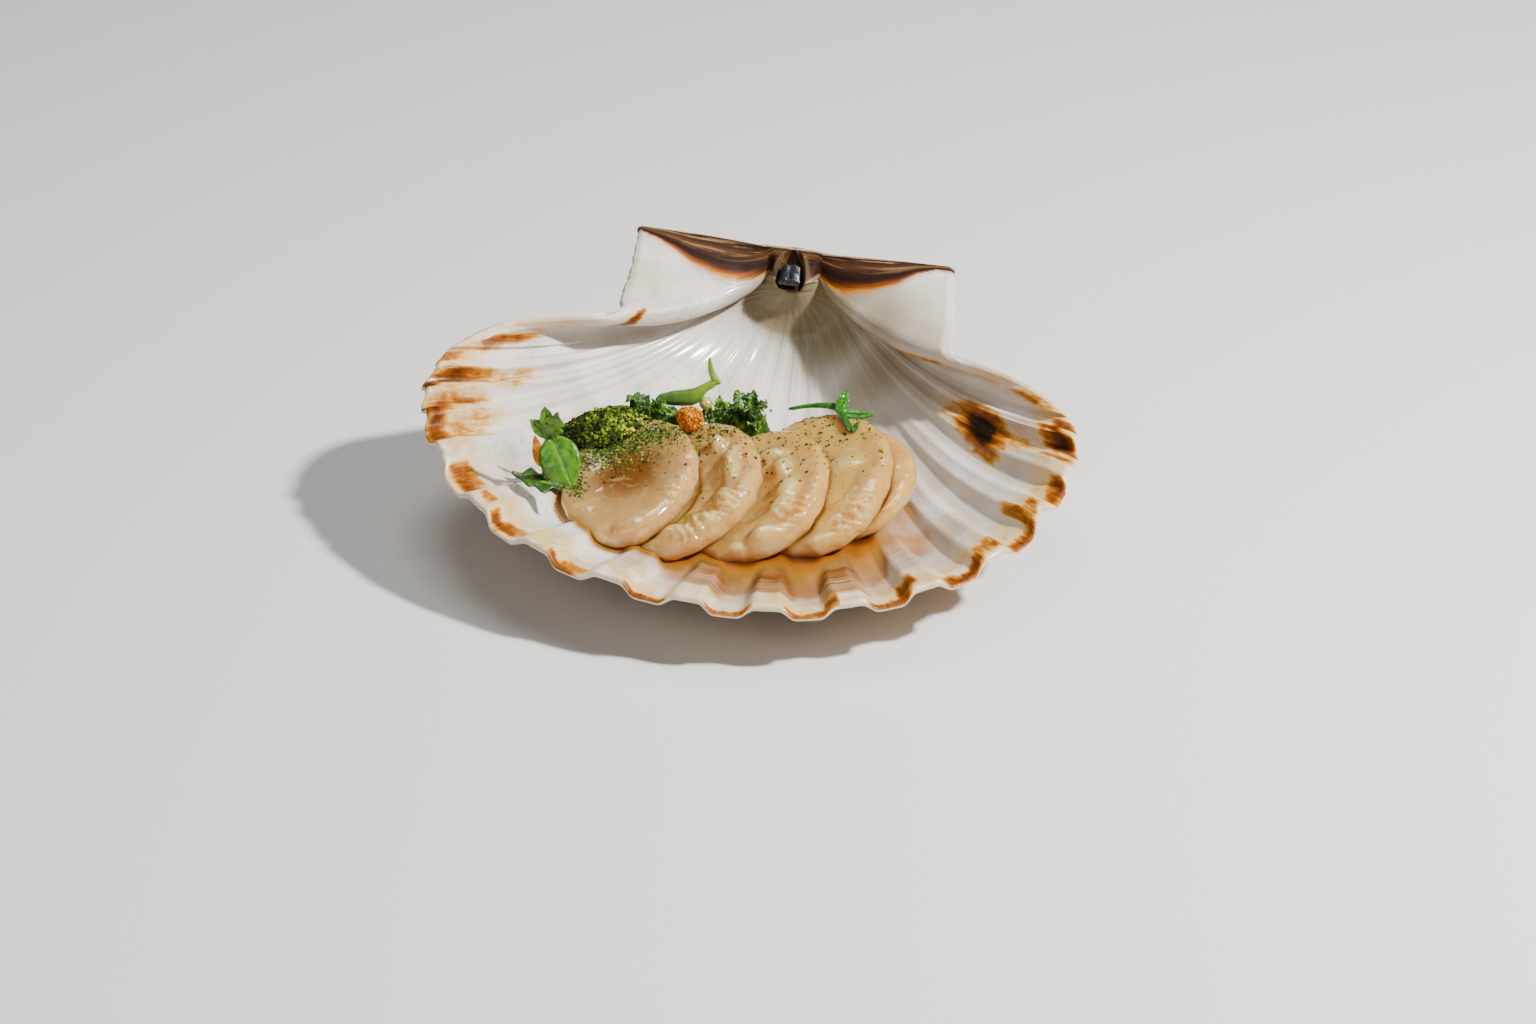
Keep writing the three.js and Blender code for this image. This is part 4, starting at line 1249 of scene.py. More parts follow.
@dataclass(frozen=True)
class Flesh:
    """Raw scallop: wet, milky and see-through at the edges."""

    deep: str = "#7c4606"
    light: str = "#deb06a"
    rim: str = "#cf9c58"
    yellow: str = "#ecbc58"
    curd: str = "#f0d694"
    oil: str = "#bfae24"
    # amber: sauce on the slices, and painted contact shade where they overlap
    amber: str = "#a8620e"

    def material(self) -> Material:
        """Builds the material."""
        pen = Pen("flesh")
        base = pen.mix(pen.read("tint"), self.light, self.yellow)
        base = pen.mix(pen.read("edge") * 0.5, base, self.rim)
        base = pen.mix(pen.read("warm"), base, self.deep)
        base = pen.mix(pen.span(pen.noise(3.4, 3, warp=0.8), 0.5, 0.68) * 0.3, base, self.curd)
        # pool: sauce at the slices' feet, and sauce with painted contact shade where slices overlap.
        for name, colour in (("pale", self.curd), ("oil", self.oil), ("pool", self.amber)):
            base = pen.mix(pen.read(name), base, colour)
        pen.surface(Base_Color=base, Roughness=pen.span(pen.noise(3.0, 2), 0.3, 0.7, 0.08, 0.18),
                    Subsurface_Weight=1.0, Subsurface_Radius=(1.0, 0.6, 0.3), Subsurface_Scale=0.006,
                    Transmission_Weight=0.3, Coat_Weight=1.0, Coat_Roughness=0.01, Coat_IOR=1.7, IOR=1.4)
        pen.bump(pen.noise(2.6, 1, warp=0.5), 0.22, coat=True)
        pen.bump(pen.noise(1.3, 1, warp=0.5) * pen.read("ripple"), 0.42, coat=True)
        return pen.material


@dataclass(frozen=True)
class Lump:
    """A raised or sunken place on a slice's upper face, in the slice's own millimetres."""

    x: float
    y: float
    radius: float
    rise: float
    long: float = 1.0  # length across, in radii
    turn: float = 0.0  # degrees

    def shape(self, flat: Array) -> Array:
        """1 on the lump and 0 away from it."""
        along, across = turned(flat[:, 0] - self.x, flat[:, 1] - self.y, self.turn)
        return np.exp(-(((along / (self.radius * self.long)) ** 2 + (across / self.radius) ** 2) ** 1.6))


@dataclass(frozen=True)
class Wrinkles:
    """Short ripples that run across a slice's rim."""

    x: float
    y: float
    radius: float
    pitch: float
    depth: float
    turn: float

    def near(self, flat: Array) -> Array:
        """1 where the ripples are and 0 away from them."""
        squared = (flat[:, 0] - self.x) ** 2 + (flat[:, 1] - self.y) ** 2
        return np.exp(-((squared / self.radius**2) ** 1.5))

    def wave(self, flat: Array) -> Array:
        """Their waves, from -1 to 1."""
        along, _ = turned(flat[:, 0] - self.x, flat[:, 1] - self.y, self.turn)
        return np.cos(2 * math.pi * (along / self.pitch + 0.5 * grain(flat, 2.5, 9)))


@dataclass(frozen=True)
class Slice:
    """One thick slice of scallop as it lies."""

    node: str
    at: Point
    width: float
    length: float
    lean: float
    roll: float
    spin: float
    tint: float
    warm: float
    lumps: tuple[Lump, ...] = ()
    wrinkles: tuple[Wrinkles, ...] = ()
    oil: float = 0.0  # strength of the green-yellow oil in its fold
    cell: float = 0.42
    rounds: int = 5

    def axes(self) -> Array:
        """Columns are the slice's own axes."""
        return rotation(0, self.lean) @ rotation(1, -self.roll) @ rotation(2, self.spin)

    def world(self, points: Array) -> Array:
        """Points of the slice's own axes where they lie."""
        return points @ self.axes().T + (np.array(self.at) - MIDDLE)

    def build(self, finish: Material) -> Piece:
        """Builds the slice from its node's form.

        Args:
            finish: what it is made of.

        Returns:
            The piece.
        """
        piece = copy_of(self.node, f"{self.node}_flesh")
        remesh(piece, self.cell, self.rounds)
        points, normals = points_of(piece), normals_of(piece)
        flat = (points - (np.array(self.at) - MIDDLE)) @ self.axes()
        upwards = self.axes()[:, 2]
        top = smoothstep(normals @ upwards, 0.1, 0.75)
        rise, pale, ripple = np.zeros((3, len(points)))
        for lump in self.lumps:
            shape = lump.shape(flat)
            rise += 1.3 * lump.rise * shape
            pale = np.maximum(pale, np.clip(lump.rise, 0, 1) * shape)
        for wrinkles in self.wrinkles:
            near = wrinkles.near(flat)
            ripple = np.maximum(ripple, near)
            rise += 1.35 * wrinkles.depth * near * wrinkles.wave(flat)
        rise += 0.3 * grain(points, 4.5, self.spin) + 0.06 * grain(points, 2.0, 3)
        points = points + upwards * (rise * top)[:, None]
        points += normals * (0.16 * (1 - top) * grain(points, 4.0, 4))[:, None]
        place(piece, points)
        spread = np.hypot(flat[:, 0] / self.width * 2, (flat[:, 1] - 2) / self.length * 2)
        paint(piece, pale=pale * 0.75, edge=smoothstep(spread, 0.55, 0.95), tint=np.full(len(points), self.tint),
              ripple=np.clip(ripple + 0.3 * smoothstep(spread, 0.6, 0.9) * (flat[:, 0] > 0), 0, 1),
              warm=self.warm * (1 - smoothstep(spread, 0.2, 0.85)) * top,
              oil=self.oil * hill(flat, 3.5, -11.5, 6, 2.6))
        return finished(piece, finish)


SLICES = (
    Slice("slice_1", (-23.2, -22.6, 18.0), 27.4, 33, 15, 12, 4, 0.1, 0.95, (
        Lump(-8.4, 6.0, 2.4, 0.9), Lump(1.0, 1.0, 8.5, -0.9, 1.2, 70), Lump(10.0, -5.0, 2.6, 0.35, 2.4, 65),
        Lump(-1.5, -15.5, 1.4, -0.5, 1.0), Lump(5.0, -13.0, 2.0, 0.3, 2.0, 20)), (
        Wrinkles(11.5, -6.5, 3.6, 2.0, 0.32, 75),)),
    Slice("slice_2", (-13.0, -20.6, 16.1), 30.5, 37.5, 13, 17, 4, 0.35, 0.5, (
        Lump(6.4, 9.0, 1.2, 1.7, 1.4, 75), Lump(9.6, 4.6, 1.5, 0.9, 2.2, 80), Lump(10.0, 0.0, 1.7, 1.0, 2.2, 95),
        Lump(9.2, -7.0, 1.8, 0.9, 2.0, 115), Lump(5.6, -12.2, 1.8, 0.8, 2.0, 150),
        Lump(0.2, -14.4, 1.8, 0.7, 2.0, 170), Lump(4.0, -3.0, 5.0, -1.0, 1.7, 75),
        Lump(13.0, -5.0, 1.6, 0.35, 3.0, 85)), (
        Wrinkles(12.0, -9.5, 5.0, 1.7, 0.34, 60), Wrinkles(6.0, -16.5, 5.0, 1.8, 0.3, 20)), oil=0.6),
    Slice("slice_3", (-0.3, -19.0, 14.8), 30.5, 37, 13, 19, 3, 0.7, 0.12, (
        Lump(-4.2, 9.9, 1.5, 1.0, 1.5, 40), Lump(3.0, 9.2, 1.7, 0.9, 1.6, 0), Lump(6.2, 4.6, 1.7, 1.1, 1.8, 100),
        Lump(8.0, -2.6, 2.2, 1.0, 1.4, 90), Lump(7.2, -7.4, 2.0, 0.8, 1.4, 60), Lump(5.3, -16.0, 3.1, 1.5, 1.1, 0),
        Lump(0.5, -2.0, 4.0, -0.8, 2.0, 85), Lump(-1.0, -18.0, 2.0, 0.7, 1.2, 90)), (
        Wrinkles(10.0, -9.0, 4.0, 2.0, 0.25, 70),)),
    Slice("slice_4", (10.0, -12.4, 15.0), 31.5, 42.5, 13, 18, 12, 0.8, 0.15, (
        Lump(6.5, 0.6, 2.2, 0.5, 1.8, 0), Lump(1.1, -7.9, 2.0, 0.35, 1.6, 30), Lump(10.4, -21.0, 0.8, -0.8, 2.0, 90),
        Lump(5.9, -22.0, 0.8, -0.8, 2.0, 90), Lump(0.9, -20.5, 2.2, 0.6, 1.3, 0),
        Lump(11.1, -6.5, 2.0, 0.3, 2.0, 80), Lump(7.9, -11.2, 2.4, 0.35, 1.4, 20)), (
        Wrinkles(8.0, -15.0, 5.0, 2.2, 0.25, 70),)),
    Slice("slice_5", (16.0, -7.8, 13.2), 27, 35.5, 11, 18, 15, 1.0, 0.1, (
        Lump(9.0, -3.0, 2.2, 0.4, 1.8, 80), Lump(10.7, -13.0, 1.6, 0.4, 1.4, 30))),
)


@dataclass
class Sauce:
    """Amber sauce: a pool round the slices whose thin edge creeps up the shell."""

    shell: Shell
    level: float = 8.0
    film: float = 0.14
    reach: float = 2.6  # height to which the film creeps above the pool
    climb: float = 0.35  # rise of the pool against what stands in it
    deep: float = 4.2  # depth at which it is darkest
    thin: float = 0.12  # how far its edge dips under the shell's face
    under: float = 0.2  # how far its underside is under the shell's face
    stretch: tuple[float, float, int] = (0.1, 0.94, 260)  # of the rim's round part, and its columns
    fall: tuple[float, float, int] = (0.01, 0.52, 120)  # down from the rim, and its rows

    def wet(self, slices: Sequence[Piece]) -> None:
        """Paints amber on the slices: sauce round their feet, and where slices overlap both sauce between them and
        painted contact shade.

        Args:
            slices: the dressed slices.
        """
        for piece in slices:
            points = points_of(piece)
            # Amber close to another slice is sauce between them and painted contact shade.
            gap = gap_to(surface_of([other for other in slices if other is not piece]), points)
            height = points[:, 2] + 0.5 * grain(points, 2.5, 15)
            foot = 0.7 * (1 - smoothstep(height, self.level, self.level + 2.2))
            paint(piece, pool=np.maximum(0.75 * np.exp(-(gap**1.5)), foot))

    def build(self, standing: BVHTree) -> Piece:
        """Builds the pool.

        Args:
            standing: surfaces that the pool meets.

        Returns:
            The piece.
        """
        u = 4 + np.linspace(*self.stretch)
        turns = -np.log(1 - np.linspace(*self.fall)) / self.shell.form.spiral
        bed = self.shell.form.posed(self.shell.surface(u, turns, np.ones(len(turns)))).reshape(-1, 3)
        above = bed[:, 2] - self.level + 0.25 * grain(bed, 5.0, 12)
        film = self.film * (1 - smoothstep(above, 0.6, self.reach))
        film = film - self.thin * smoothstep(above, 1.4, self.reach + 0.6)
        edge = (1 - smoothstep(gap_to(standing, bed), 0.6, 2.4)) * (1 - smoothstep(above, 4.0, 7.5))
        film = np.maximum(film, 0.75 * edge - self.thin * (1 - edge))
        top, flat = bed.copy(), bed[:, 2] + film < self.level
        top[:, 2] = np.where(flat, self.level, bed[:, 2] + film)
        near = gap_to(standing, top)
        top[:, 2] += self.climb * np.exp(-near / 0.6) * flat
        kept = (above < self.reach + 1.0) | (edge > 0.02)
        quads = [q for q in grid_faces(len(turns), len(u)) if kept[list(q)].all()]
        edges = dict.fromkeys((a, b) for q in quads for a, b in zip(q, (*q[1:], q[0])))
        count = len(bed)
        faces = quads + [tuple(count + k for k in reversed(q)) for q in quads]
        faces += [(b, a, count + a, count + b) for a, b in edges if (b, a) not in edges]
        piece = new_mesh("sauce_pool", np.concatenate([top, bed - np.array([0, 0, self.under])]), faces)
        edit(piece, bpy.ops.mesh.delete_loose)
        face_out(piece)
        thick = np.clip(0.8 * np.clip((top[:, 2] - bed[:, 2]) / self.deep, 0, 1) + 0.5 * np.exp(-near / 1.6), 0, 1)
        paint(piece, thick=np.tile(thick, 2)[np.unique([k for f in faces for k in f])])
        return finished(piece, self.material(), degrees=60)

    def material(self) -> Material:
        """Clear amber that darkens with depth."""
        pen = Pen("sauce")
        depth = pen.read("thick")
        colour = pen.ramp(depth, (0.0, "#e0aa54"), (0.3, "#c98c2a"), (0.55, "#a05e10"), (0.8, "#683406"),
                          (1.0, "#3c1c03"))
        pen.surface(Base_Color=colour, Alpha=pen.span(depth, 0.05, 0.75, 0.05, 0.95),
                    Roughness=0.04, IOR=1.36, Coat_Weight=0.5, Coat_Roughness=0.02)
        pen.bump(pen.noise(3.0, 1), 0.05)
        return pen.material


# ------------------------------------------------------------------ leaves and stalks


class Outline(Enum):
    """How wide a leaf is along its length."""

    OVAL = "oval"
    LANCE = "lance"
    LOBED = "lobed"

    def half(self, t: Array) -> Array:
        """Half width at shares of the length, as a share of the widest.

        Args:
            t: shares of the length.

        Returns:
            Shares.
        """
        if self is Outline.OVAL:
            return np.sin(math.pi * t**0.8) ** 0.75
        if self is Outline.LANCE:
            return np.sin(math.pi * np.minimum(1, 0.08 + 0.92 * t)) ** 0.8
        return (0.35 + 0.65 * np.sin(math.pi * t)) * (0.75 + 0.25 * np.cos(6 * math.pi * t)) * (1 - t**6)


@dataclass(frozen=True)
class Greens:
    """A leaf's or stalk's finish."""

    name: str
    dark: str
    light: str
    rib: str
    gloss: float = 0.35
    clear: float = 0.15

    def material(self) -> Material:
        """Builds the material, with a midrib and veins along the piece's own map."""
        pen = Pen(self.name)
        base = pen.mix(pen.span(pen.noise(1.6, 4), 0.35, 0.65), self.dark, self.light)
        veins = pen.cells(0.16, pen.uv(1.0, 1.6))
        base = pen.mix(pen.span(veins, 0.3, 0.7) * 0.3, base, self.light)
        pen.surface(Base_Color=pen.mix(pen.read("rib"), base, self.rib), Roughness=self.gloss,
                    Subsurface_Weight=self.clear, Subsurface_Radius=(0.5, 1.0, 0.2), Subsurface_Scale=0.001,
                    Coat_Weight=0.15, Coat_Roughness=0.15)
        pen.bump(veins, 0.12)
        pen.bump(pen.noise(0.5, 3), 0.06)
        return pen.material


@dataclass(frozen=True)
class Leaf:
    """A thin leaf from base to tip, its upper face towards `up`."""

    base: Point
    tip: Point
    half: float
    shape: Outline
    up: Point = VIEWER
    bow: float = 0.0
    cup: float = 0.0
    wave: float = 0.0
    thick: float = 0.35
    crease: float = 0.0
    frill: float = 0.0
    rows: int = 28
    cells: int = 14

    def build(self) -> Piece:
        """Shapes a grid into the leaf and gives it its thickness."""
        bpy.ops.object.select_all(action="DESELECT")
        bpy.ops.mesh.primitive_grid_add(x_subdivisions=self.cells, y_subdivisions=self.rows, size=1, calc_uvs=True)
        piece = bpy.context.object
        grid = points_of(piece) * MM
        t, along = grid[:, 0] * 2, grid[:, 1] + 0.5
        run = np.array(self.tip) - np.array(self.base)
        side = unit(np.cross(run, np.array(self.up)))
        lift = unit(np.cross(side, run))
        reach = self.half * np.maximum(0.07, self.shape.half(np.clip(along, 0, 1)))
        height = self.bow * np.sin(math.pi * along) + self.cup * t * t * reach
        height += self.wave * np.abs(t) * np.sin(4 * math.pi * along + np.where(t > 0, 0.8, 0.0))
        height -= self.crease * bell(t, 0, 0.16) * np.sin(math.pi * along) ** 0.5
        frill = self.frill * t**2 * np.sin(9 * math.pi * along + 2.1 * np.sign(t) + 5 * self.half)
        frill += 0.6 * self.frill * t**2 * np.sin(17 * math.pi * along + t * 3)
        place(piece, np.array(self.base) - MIDDLE + run * along[:, None] + side * (t * reach)[:, None]
              + lift * (height + frill)[:, None])
        apply(piece, "SOLIDIFY", thickness=self.thick * MM, offset=0.0)
        rib = bell(t, 0, 0.09) * (1 - 0.7 * along)
        paint(piece, rib=np.tile(rib, 2)[: len(piece.data.vertices)])
        return piece


@dataclass(frozen=True)
class Stalk:
    """A round stalk along a smooth line, with a radius at each point."""

    points: tuple[Point, ...]
    radii: tuple[float, ...]
    sides: int = 14
    steps: int = 36
    pale: tuple[float, ...] = (0.0, 0.0)  # how much it takes the rib's colour along its length

    def along(self, values: tuple[float, ...]) -> Array:
        """Numbers given at even places, one a ring."""
        return np.interp(np.linspace(0, 1, self.steps), np.linspace(0, 1, len(values)), values)

    def build(self) -> Piece:
        """Leads a ring along the line and rounds both ends."""
        line = np.array(self.points) - MIDDLE
        knots = np.concatenate([[2 * line[0] - line[1]], line, [2 * line[-1] - line[-2]]])
        t = np.linspace(0, len(line) - 1, self.steps)
        k = np.minimum(t.astype(int), len(line) - 2)
        f = (t - k)[:, None]
        p0, p1, p2, p3 = (knots[k + i] for i in range(4))
        centre = 0.5 * (2 * p1 + (p2 - p0) * f + (2 * p0 - 5 * p1 + 4 * p2 - p3) * f**2
                        + (3 * p1 - p0 - 3 * p2 + p3) * f**3)
        end = np.minimum(np.arange(self.steps), np.arange(self.steps)[::-1]) / 3
        radius = self.along(self.radii) * np.sqrt(np.clip(1 - (1 - np.clip(end, 0, 1)) ** 2, 0.05, 1))
        ahead = unit(np.gradient(centre, axis=0))
        side = unit(np.cross(ahead, np.array([0.3, 0.2, 1.0])))
        above = np.cross(side, ahead)
        turn = np.linspace(0, 2 * math.pi, self.sides, endpoint=False)
        rings = (centre[:, None] + radius[:, None, None] * (side[:, None] * np.cos(turn)[None, :, None]
                                                             + above[:, None] * np.sin(turn)[None, :, None]))
        n = self.sides
        faces = [(r * n + j, r * n + (j + 1) % n, (r + 1) * n + (j + 1) % n, (r + 1) * n + j)
                 for r in range(self.steps - 1) for j in range(n)]
        faces += [tuple(range(n))[::-1], tuple((self.steps - 1) * n + j for j in range(n))]
        piece = new_mesh("stalk", rings.reshape(-1, 3), faces)
        face_out(piece)
        paint(piece, rib=np.repeat(self.along(self.pale), n))
        piece.data.uv_layers.new(name="UVMap")
        return piece


def joined(name: str, parts: Sequence[Piece], finish: Material) -> Piece:
    """Several parts as one piece with one finish.

    Args:
        name: of the piece.
        parts: what it is made of.
        finish: its material.

    Returns:
        The piece.
    """
    for part in parts:
        part.data.materials.clear()
        finished(part, finish)
    alone(parts[0])
    for part in parts:
        part.select_set(True)
    if len(parts) > 1:
        bpy.ops.object.join()
    piece = bpy.context.object
    piece.name = piece.data.name = name
    return piece


@dataclass(frozen=True)
class Sprig:
    """One separate piece of greenery, made of stalks and leaves."""

    name: str
    node: str
    finish: Greens
    parts: tuple[Stalk | Leaf, ...]

    def build(self) -> Piece:
        """Builds the parts and joins them."""
        return joined(self.name, [part.build() for part in self.parts], self.finish.material())


GARNISH = (
    Sprig("herb_sprig", "herb", Greens("herb_green", "#2a5400", "#4f8600", "#79a024", 0.32, 0.25), (
        Stalk(((-38.8, -22.5, 15.2), (-37.7, -26, 21.5), (-36, -29.3, 28.4)), (0.75, 0.65, 0.5)),
        Leaf((-36, -29.4, 28), (-31, -33.7, 20), 3.8, Outline.OVAL, bow=0.8, cup=-0.12, crease=0.35, wave=0.15),
        Leaf((-36, -29.4, 27.6), (-34, -31, 34), 2.2, Outline.LOBED, wave=0.3, crease=0.2),
        Leaf((-36, -29.4, 27.6), (-36.6, -30.4, 34.6), 1.5, Outline.LANCE, wave=0.3, crease=0.3),
        Leaf((-36, -29.2, 27.8), (-39.3, -30.6, 31.8), 1.4, Outline.LANCE, crease=0.2))),
    Sprig("green_sprig", "sprig", Greens("sprig_green", "#174c02", "#2f7d05", "#83b52a", 0.2, 0.2), (
        Stalk(((3.1, 4.6, 20.4), (7.8, 5.9, 20.9), (12.0, 6.2, 20.8), (14.4, 2.2, 20.4), (16.3, -1.8, 20)),
              (0.35, 0.45, 0.75, 0.8, 0.65), steps=60),
        Stalk(((16.2, -1.8, 20), (17.0, -1.0, 20.1), (17.5, 1.4, 20.6)), (0.6, 0.6, 0.3), steps=16),
        Leaf((13.0, 4.4, 20.3), (14.2, 7.6, 23.8), 1.25, Outline.LANCE, crease=0.3, thick=0.5),
        Leaf((13.2, 4.2, 20.4), (20, 3.8, 20.9), 1.0, Outline.LANCE, (0, -0.5, 1), crease=0.3, thick=0.5))),
    Sprig("orange_petal", "petal", Greens("petal_orange", "#c25c04", "#e58a10", "#f0b23c", 0.4, 0.3), (
        Leaf((-40.1, -20.5, 17), (-40.3, -23.6, 25), 1.1, Outline.OVAL, bow=0.4, wave=0.2),)),
    Sprig("dark_lying_leaf", "lying_leaf", Greens("dark_leaf", "#142f03", "#305c08", "#7d9a3a", 0.35), (
        Leaf((-35.4, -23.4, 14.3), (-44.6, -25.2, 17.6), 3.4, Outline.LOBED, (0.32, -0.1, 0.94), wave=0.3,
             crease=0.3, thick=0.45),)),
    Sprig("green_sprout", "sprout", Greens("sprout_green", "#1f4a02", "#3f7405", "#8fb41c", 0.2, 0.5), (
        Stalk(((-22, 0.2, 22.6), (-18.6, 0.5, 22.9), (-15, 1, 23.3), (-12.7, 1.9, 24.9), (-10.4, 2.6, 26.2)),
              (0.8, 1.5, 1.7, 0.9, 0.75), pale=(0.0, 0.1, 0.25, 0.7, 0.95)),
        Stalk(((-10.6, 2.6, 26.1), (-11.6, 3.1, 28), (-12, 3.2, 31)), (0.8, 0.6, 0.25), pale=(0.95, 0.8)),
        Stalk(((-10.8, 2.5, 26.1), (-9.6, 2.4, 26.0)), (0.7, 0.35), steps=12, pale=(0.95, 0.5)))),
)
KALE = Greens("kale", "#142b00", "#386600", "#86a614", 0.4, 0.1)
LIGHT_LEAF = Greens("light_leaf", "#3a6a02", "#76a010", "#b4c94a", 0.35, 0.4)

# Scraps of curly leaf between the tufts: where they lie, how long they are and how they are turned.
DARK_BITS = (
    (-25.6, -3.2, 22.2, 3.0, 100), (-23.8, -2.6, 22.6, 3.0, 60), (-23.0, -3.8, 20.8, 3.0, 40),
    (-25.2, -3.9, 21.0, 2.6, 130), (-13.0, 0.9, 19.6, 2.6, 80), (-11.8, 1.3, 20.3, 3.0, 110),
    (-10.3, 1.5, 20.2, 3.0, 50), (-9.0, 2.0, 20.6, 3.0, 120), (-7.9, 1.7, 19.6, 3.0, 20), (-8.9, 1.2, 19.0, 2.6, 150),
    (-11.4, 0.6, 18.9, 2.6, 10),
)
LIGHT_BITS = (
    (-21.4, -2.4, 22.3, 3.2, 120), (-20.2, -2.2, 22.0, 3.0, 70), (-21.2, -3.4, 21.0, 2.8, 20),
    (-18.6, -2.6, 21.2, 2.8, 160), (-10.0, 2.4, 21.6, 3.2, 85), (-8.8, 2.2, 21.3, 2.6, 40),
    (-6.4, 1.5, 18.8, 3.0, 160), (-4.8, 1.3, 18.0, 3.0, 30), (-2.4, 1.7, 18.0, 2.8, 90), (-1.4, 2.0, 19.0, 2.6, 60),
)


def loose_bits(name: str, bits: Sequence[tuple[float, ...]], finish: Material) -> Piece:
    """Scraps of leaf as one piece.

    Args:
        name: of the piece.
        bits: where each lies, its length and its turn.
        finish: their material.

    Returns:
        The piece.
    """
    parts = []
    for *at, length, degrees in bits:
        angle = math.radians(degrees)
        run = np.array([math.cos(angle), 0.25, math.sin(angle)]) * length / 2
        parts.append(Leaf(tuple(at - run), tuple(at + run), length * 0.34, Outline.LOBED, bow=0.35, wave=0.3,
                          thick=0.25, frill=0.32, rows=22, cells=10, crease=0.2).build())
    return joined(name, parts, finish)


@dataclass(frozen=True)
class Tuft:
    """A curly tuft of kale: frilled leaves fanned over a crumpled foot."""

    node: str
    at: Point
    reach: float
    seed: int
    leaves: int = 9
    cell: float = 0.45

    def build(self, finish: Material) -> Piece:
        """Builds the tuft.

        Args:
            finish: the kale's material.

        Returns:
            The piece.
        """
        draw = np.random.default_rng(self.seed)
        core = copy_of(self.node, "core")
        remesh(core, self.cell, 3)
        swell(core, 0.3 * grain(points_of(core), 1.2, self.seed) - 0.35)
        paint(core, rib=np.zeros(len(core.data.vertices)))
        core.data.uv_layers.new(name="UVMap")
        parts = [core]
        for i in range(self.leaves):
            turn = 2 * math.pi * (i + 0.5 * draw.random()) / self.leaves
            out = np.array([math.cos(turn), math.sin(turn), 0.0])
            level = draw.random()
            start = np.array(self.at) + out * self.reach * 0.25 + np.array([0, 0, -1.2 + 1.6 * level])
            tip = start + out * self.reach * (0.45 + 0.35 * draw.random()) + np.array([0, 0, 0.8 + 2.4 * level])
            up = -out * self.reach * 0.8 + np.array([0, 0, self.reach])
            parts.append(Leaf(tuple(start), tuple(tip), self.reach * (0.3 + 0.14 * draw.random()), Outline.LANCE,
                              tuple(up), bow=0.4, wave=0.35, thick=0.22, frill=0.5, rows=26, cells=12,
                              crease=0.15).build())
        return joined(f"{self.node}_leaves", parts, finish)


# ------------------------------------------------------------------ crumbs and flakes


@dataclass
class Scatter:
    """Many small things joined into one piece."""

    name: str
    kinds: int  # how many different shapes there are
    seed: int
    roughness: float = 0.5
    points: list[Array] = field(default_factory=list)
    faces: list[Array] = field(default_factory=list)
    tones: list[Array] = field(default_factory=list)
    count: int = 0

    def __post_init__(self) -> None:
        """Makes the shapes, each a crumb one unit in radius."""
        self.shapes = []
        for seed in range(self.seed, self.seed + self.kinds):
            bpy.ops.object.select_all(action="DESELECT")
            bpy.ops.mesh.primitive_ico_sphere_add(subdivisions=1, radius=1)
            ball = bpy.context.object
            points = points_of(ball) * MM
            faces = np.array([tuple(p.vertices) for p in ball.data.polygons])
            bpy.data.objects.remove(ball)
            self.shapes.append((points * (1 + self.roughness * grain(points, 0.8, seed))[:, None], faces))

    def add(self, at: Array, normal: Array, size: Sequence[float], spin: float, tone: float) -> None:
        """Adds one thing.

        Args:
            at: where it lies.
            normal: direction away from what carries it.
            size: its half sizes along, across and up.
            spin: turn about the normal in radians.
            tone: number that its finish reads.
        """
        shape, faces = self.shapes[len(self.points) % len(self.shapes)]
        up = unit(np.asarray(normal, float))
        side = unit(np.cross(up, [0.31, 0.87, 0.38]))
        other = np.cross(up, side)
        c, s = math.cos(spin), math.sin(spin)
        axes = np.stack([side * c + other * s, -side * s + other * c, up])
        self.points.append((shape * np.array(size)) @ axes + at)
        self.faces.append(faces + self.count)
        self.tones.append(np.full(len(shape), tone))
        self.count += len(shape)

    def build(self, finish: Material) -> Piece:
        """Makes the one piece of them all.

        Args:
            finish: its material.

        Returns:
            The piece.
        """
        piece = new_mesh(self.name, np.concatenate(self.points), np.concatenate(self.faces).tolist())
        paint(piece, tone=np.concatenate(self.tones))
        LOG.info("%s holds %d things", self.name, len(self.points))
        return finished(piece, finish, degrees=40)


@dataclass(frozen=True)
class Grains:
    """Finish of scattered bits: each has its own tone."""

    name: str
    gloss: float
    tones: tuple[tuple[float, str], ...]

    def material(self) -> Material:
        """Builds the material."""
        pen = Pen(self.name)
        tone = pen.read("tone") + (pen.noise(0.3, 2) - 0.5) * 0.4
        pen.surface(Base_Color=pen.ramp(tone, *self.tones), Roughness=self.gloss, Specular_IOR_Level=0.2)
        pen.bump(pen.noise(0.15, 2), 0.04)
        return pen.material


MOSS = Grains("herb_crumb", 0.75, (
    (0.0, "#0f1702"), (0.3, "#2c3c04"), (0.6, "#627708"), (0.85, "#959c1a"), (1.0, "#bfbd48")))
ORANGE = Grains("orange_crumb", 0.4, ((0.0, "#6a3000"), (0.4, "#a85400"), (0.75, "#d28000"), (1.0, "#eab22a")))
DRIED = Grains("dried_herb", 0.7, ((0.0, "#121a04"), (0.35, "#2f420a"), (0.7, "#5f7512"), (1.0, "#a3a638")))
SPECK = Grains("speck", 0.8, ((0.0, "#171a10"), (0.5, "#3c4520"), (1.0, "#6c7440")))


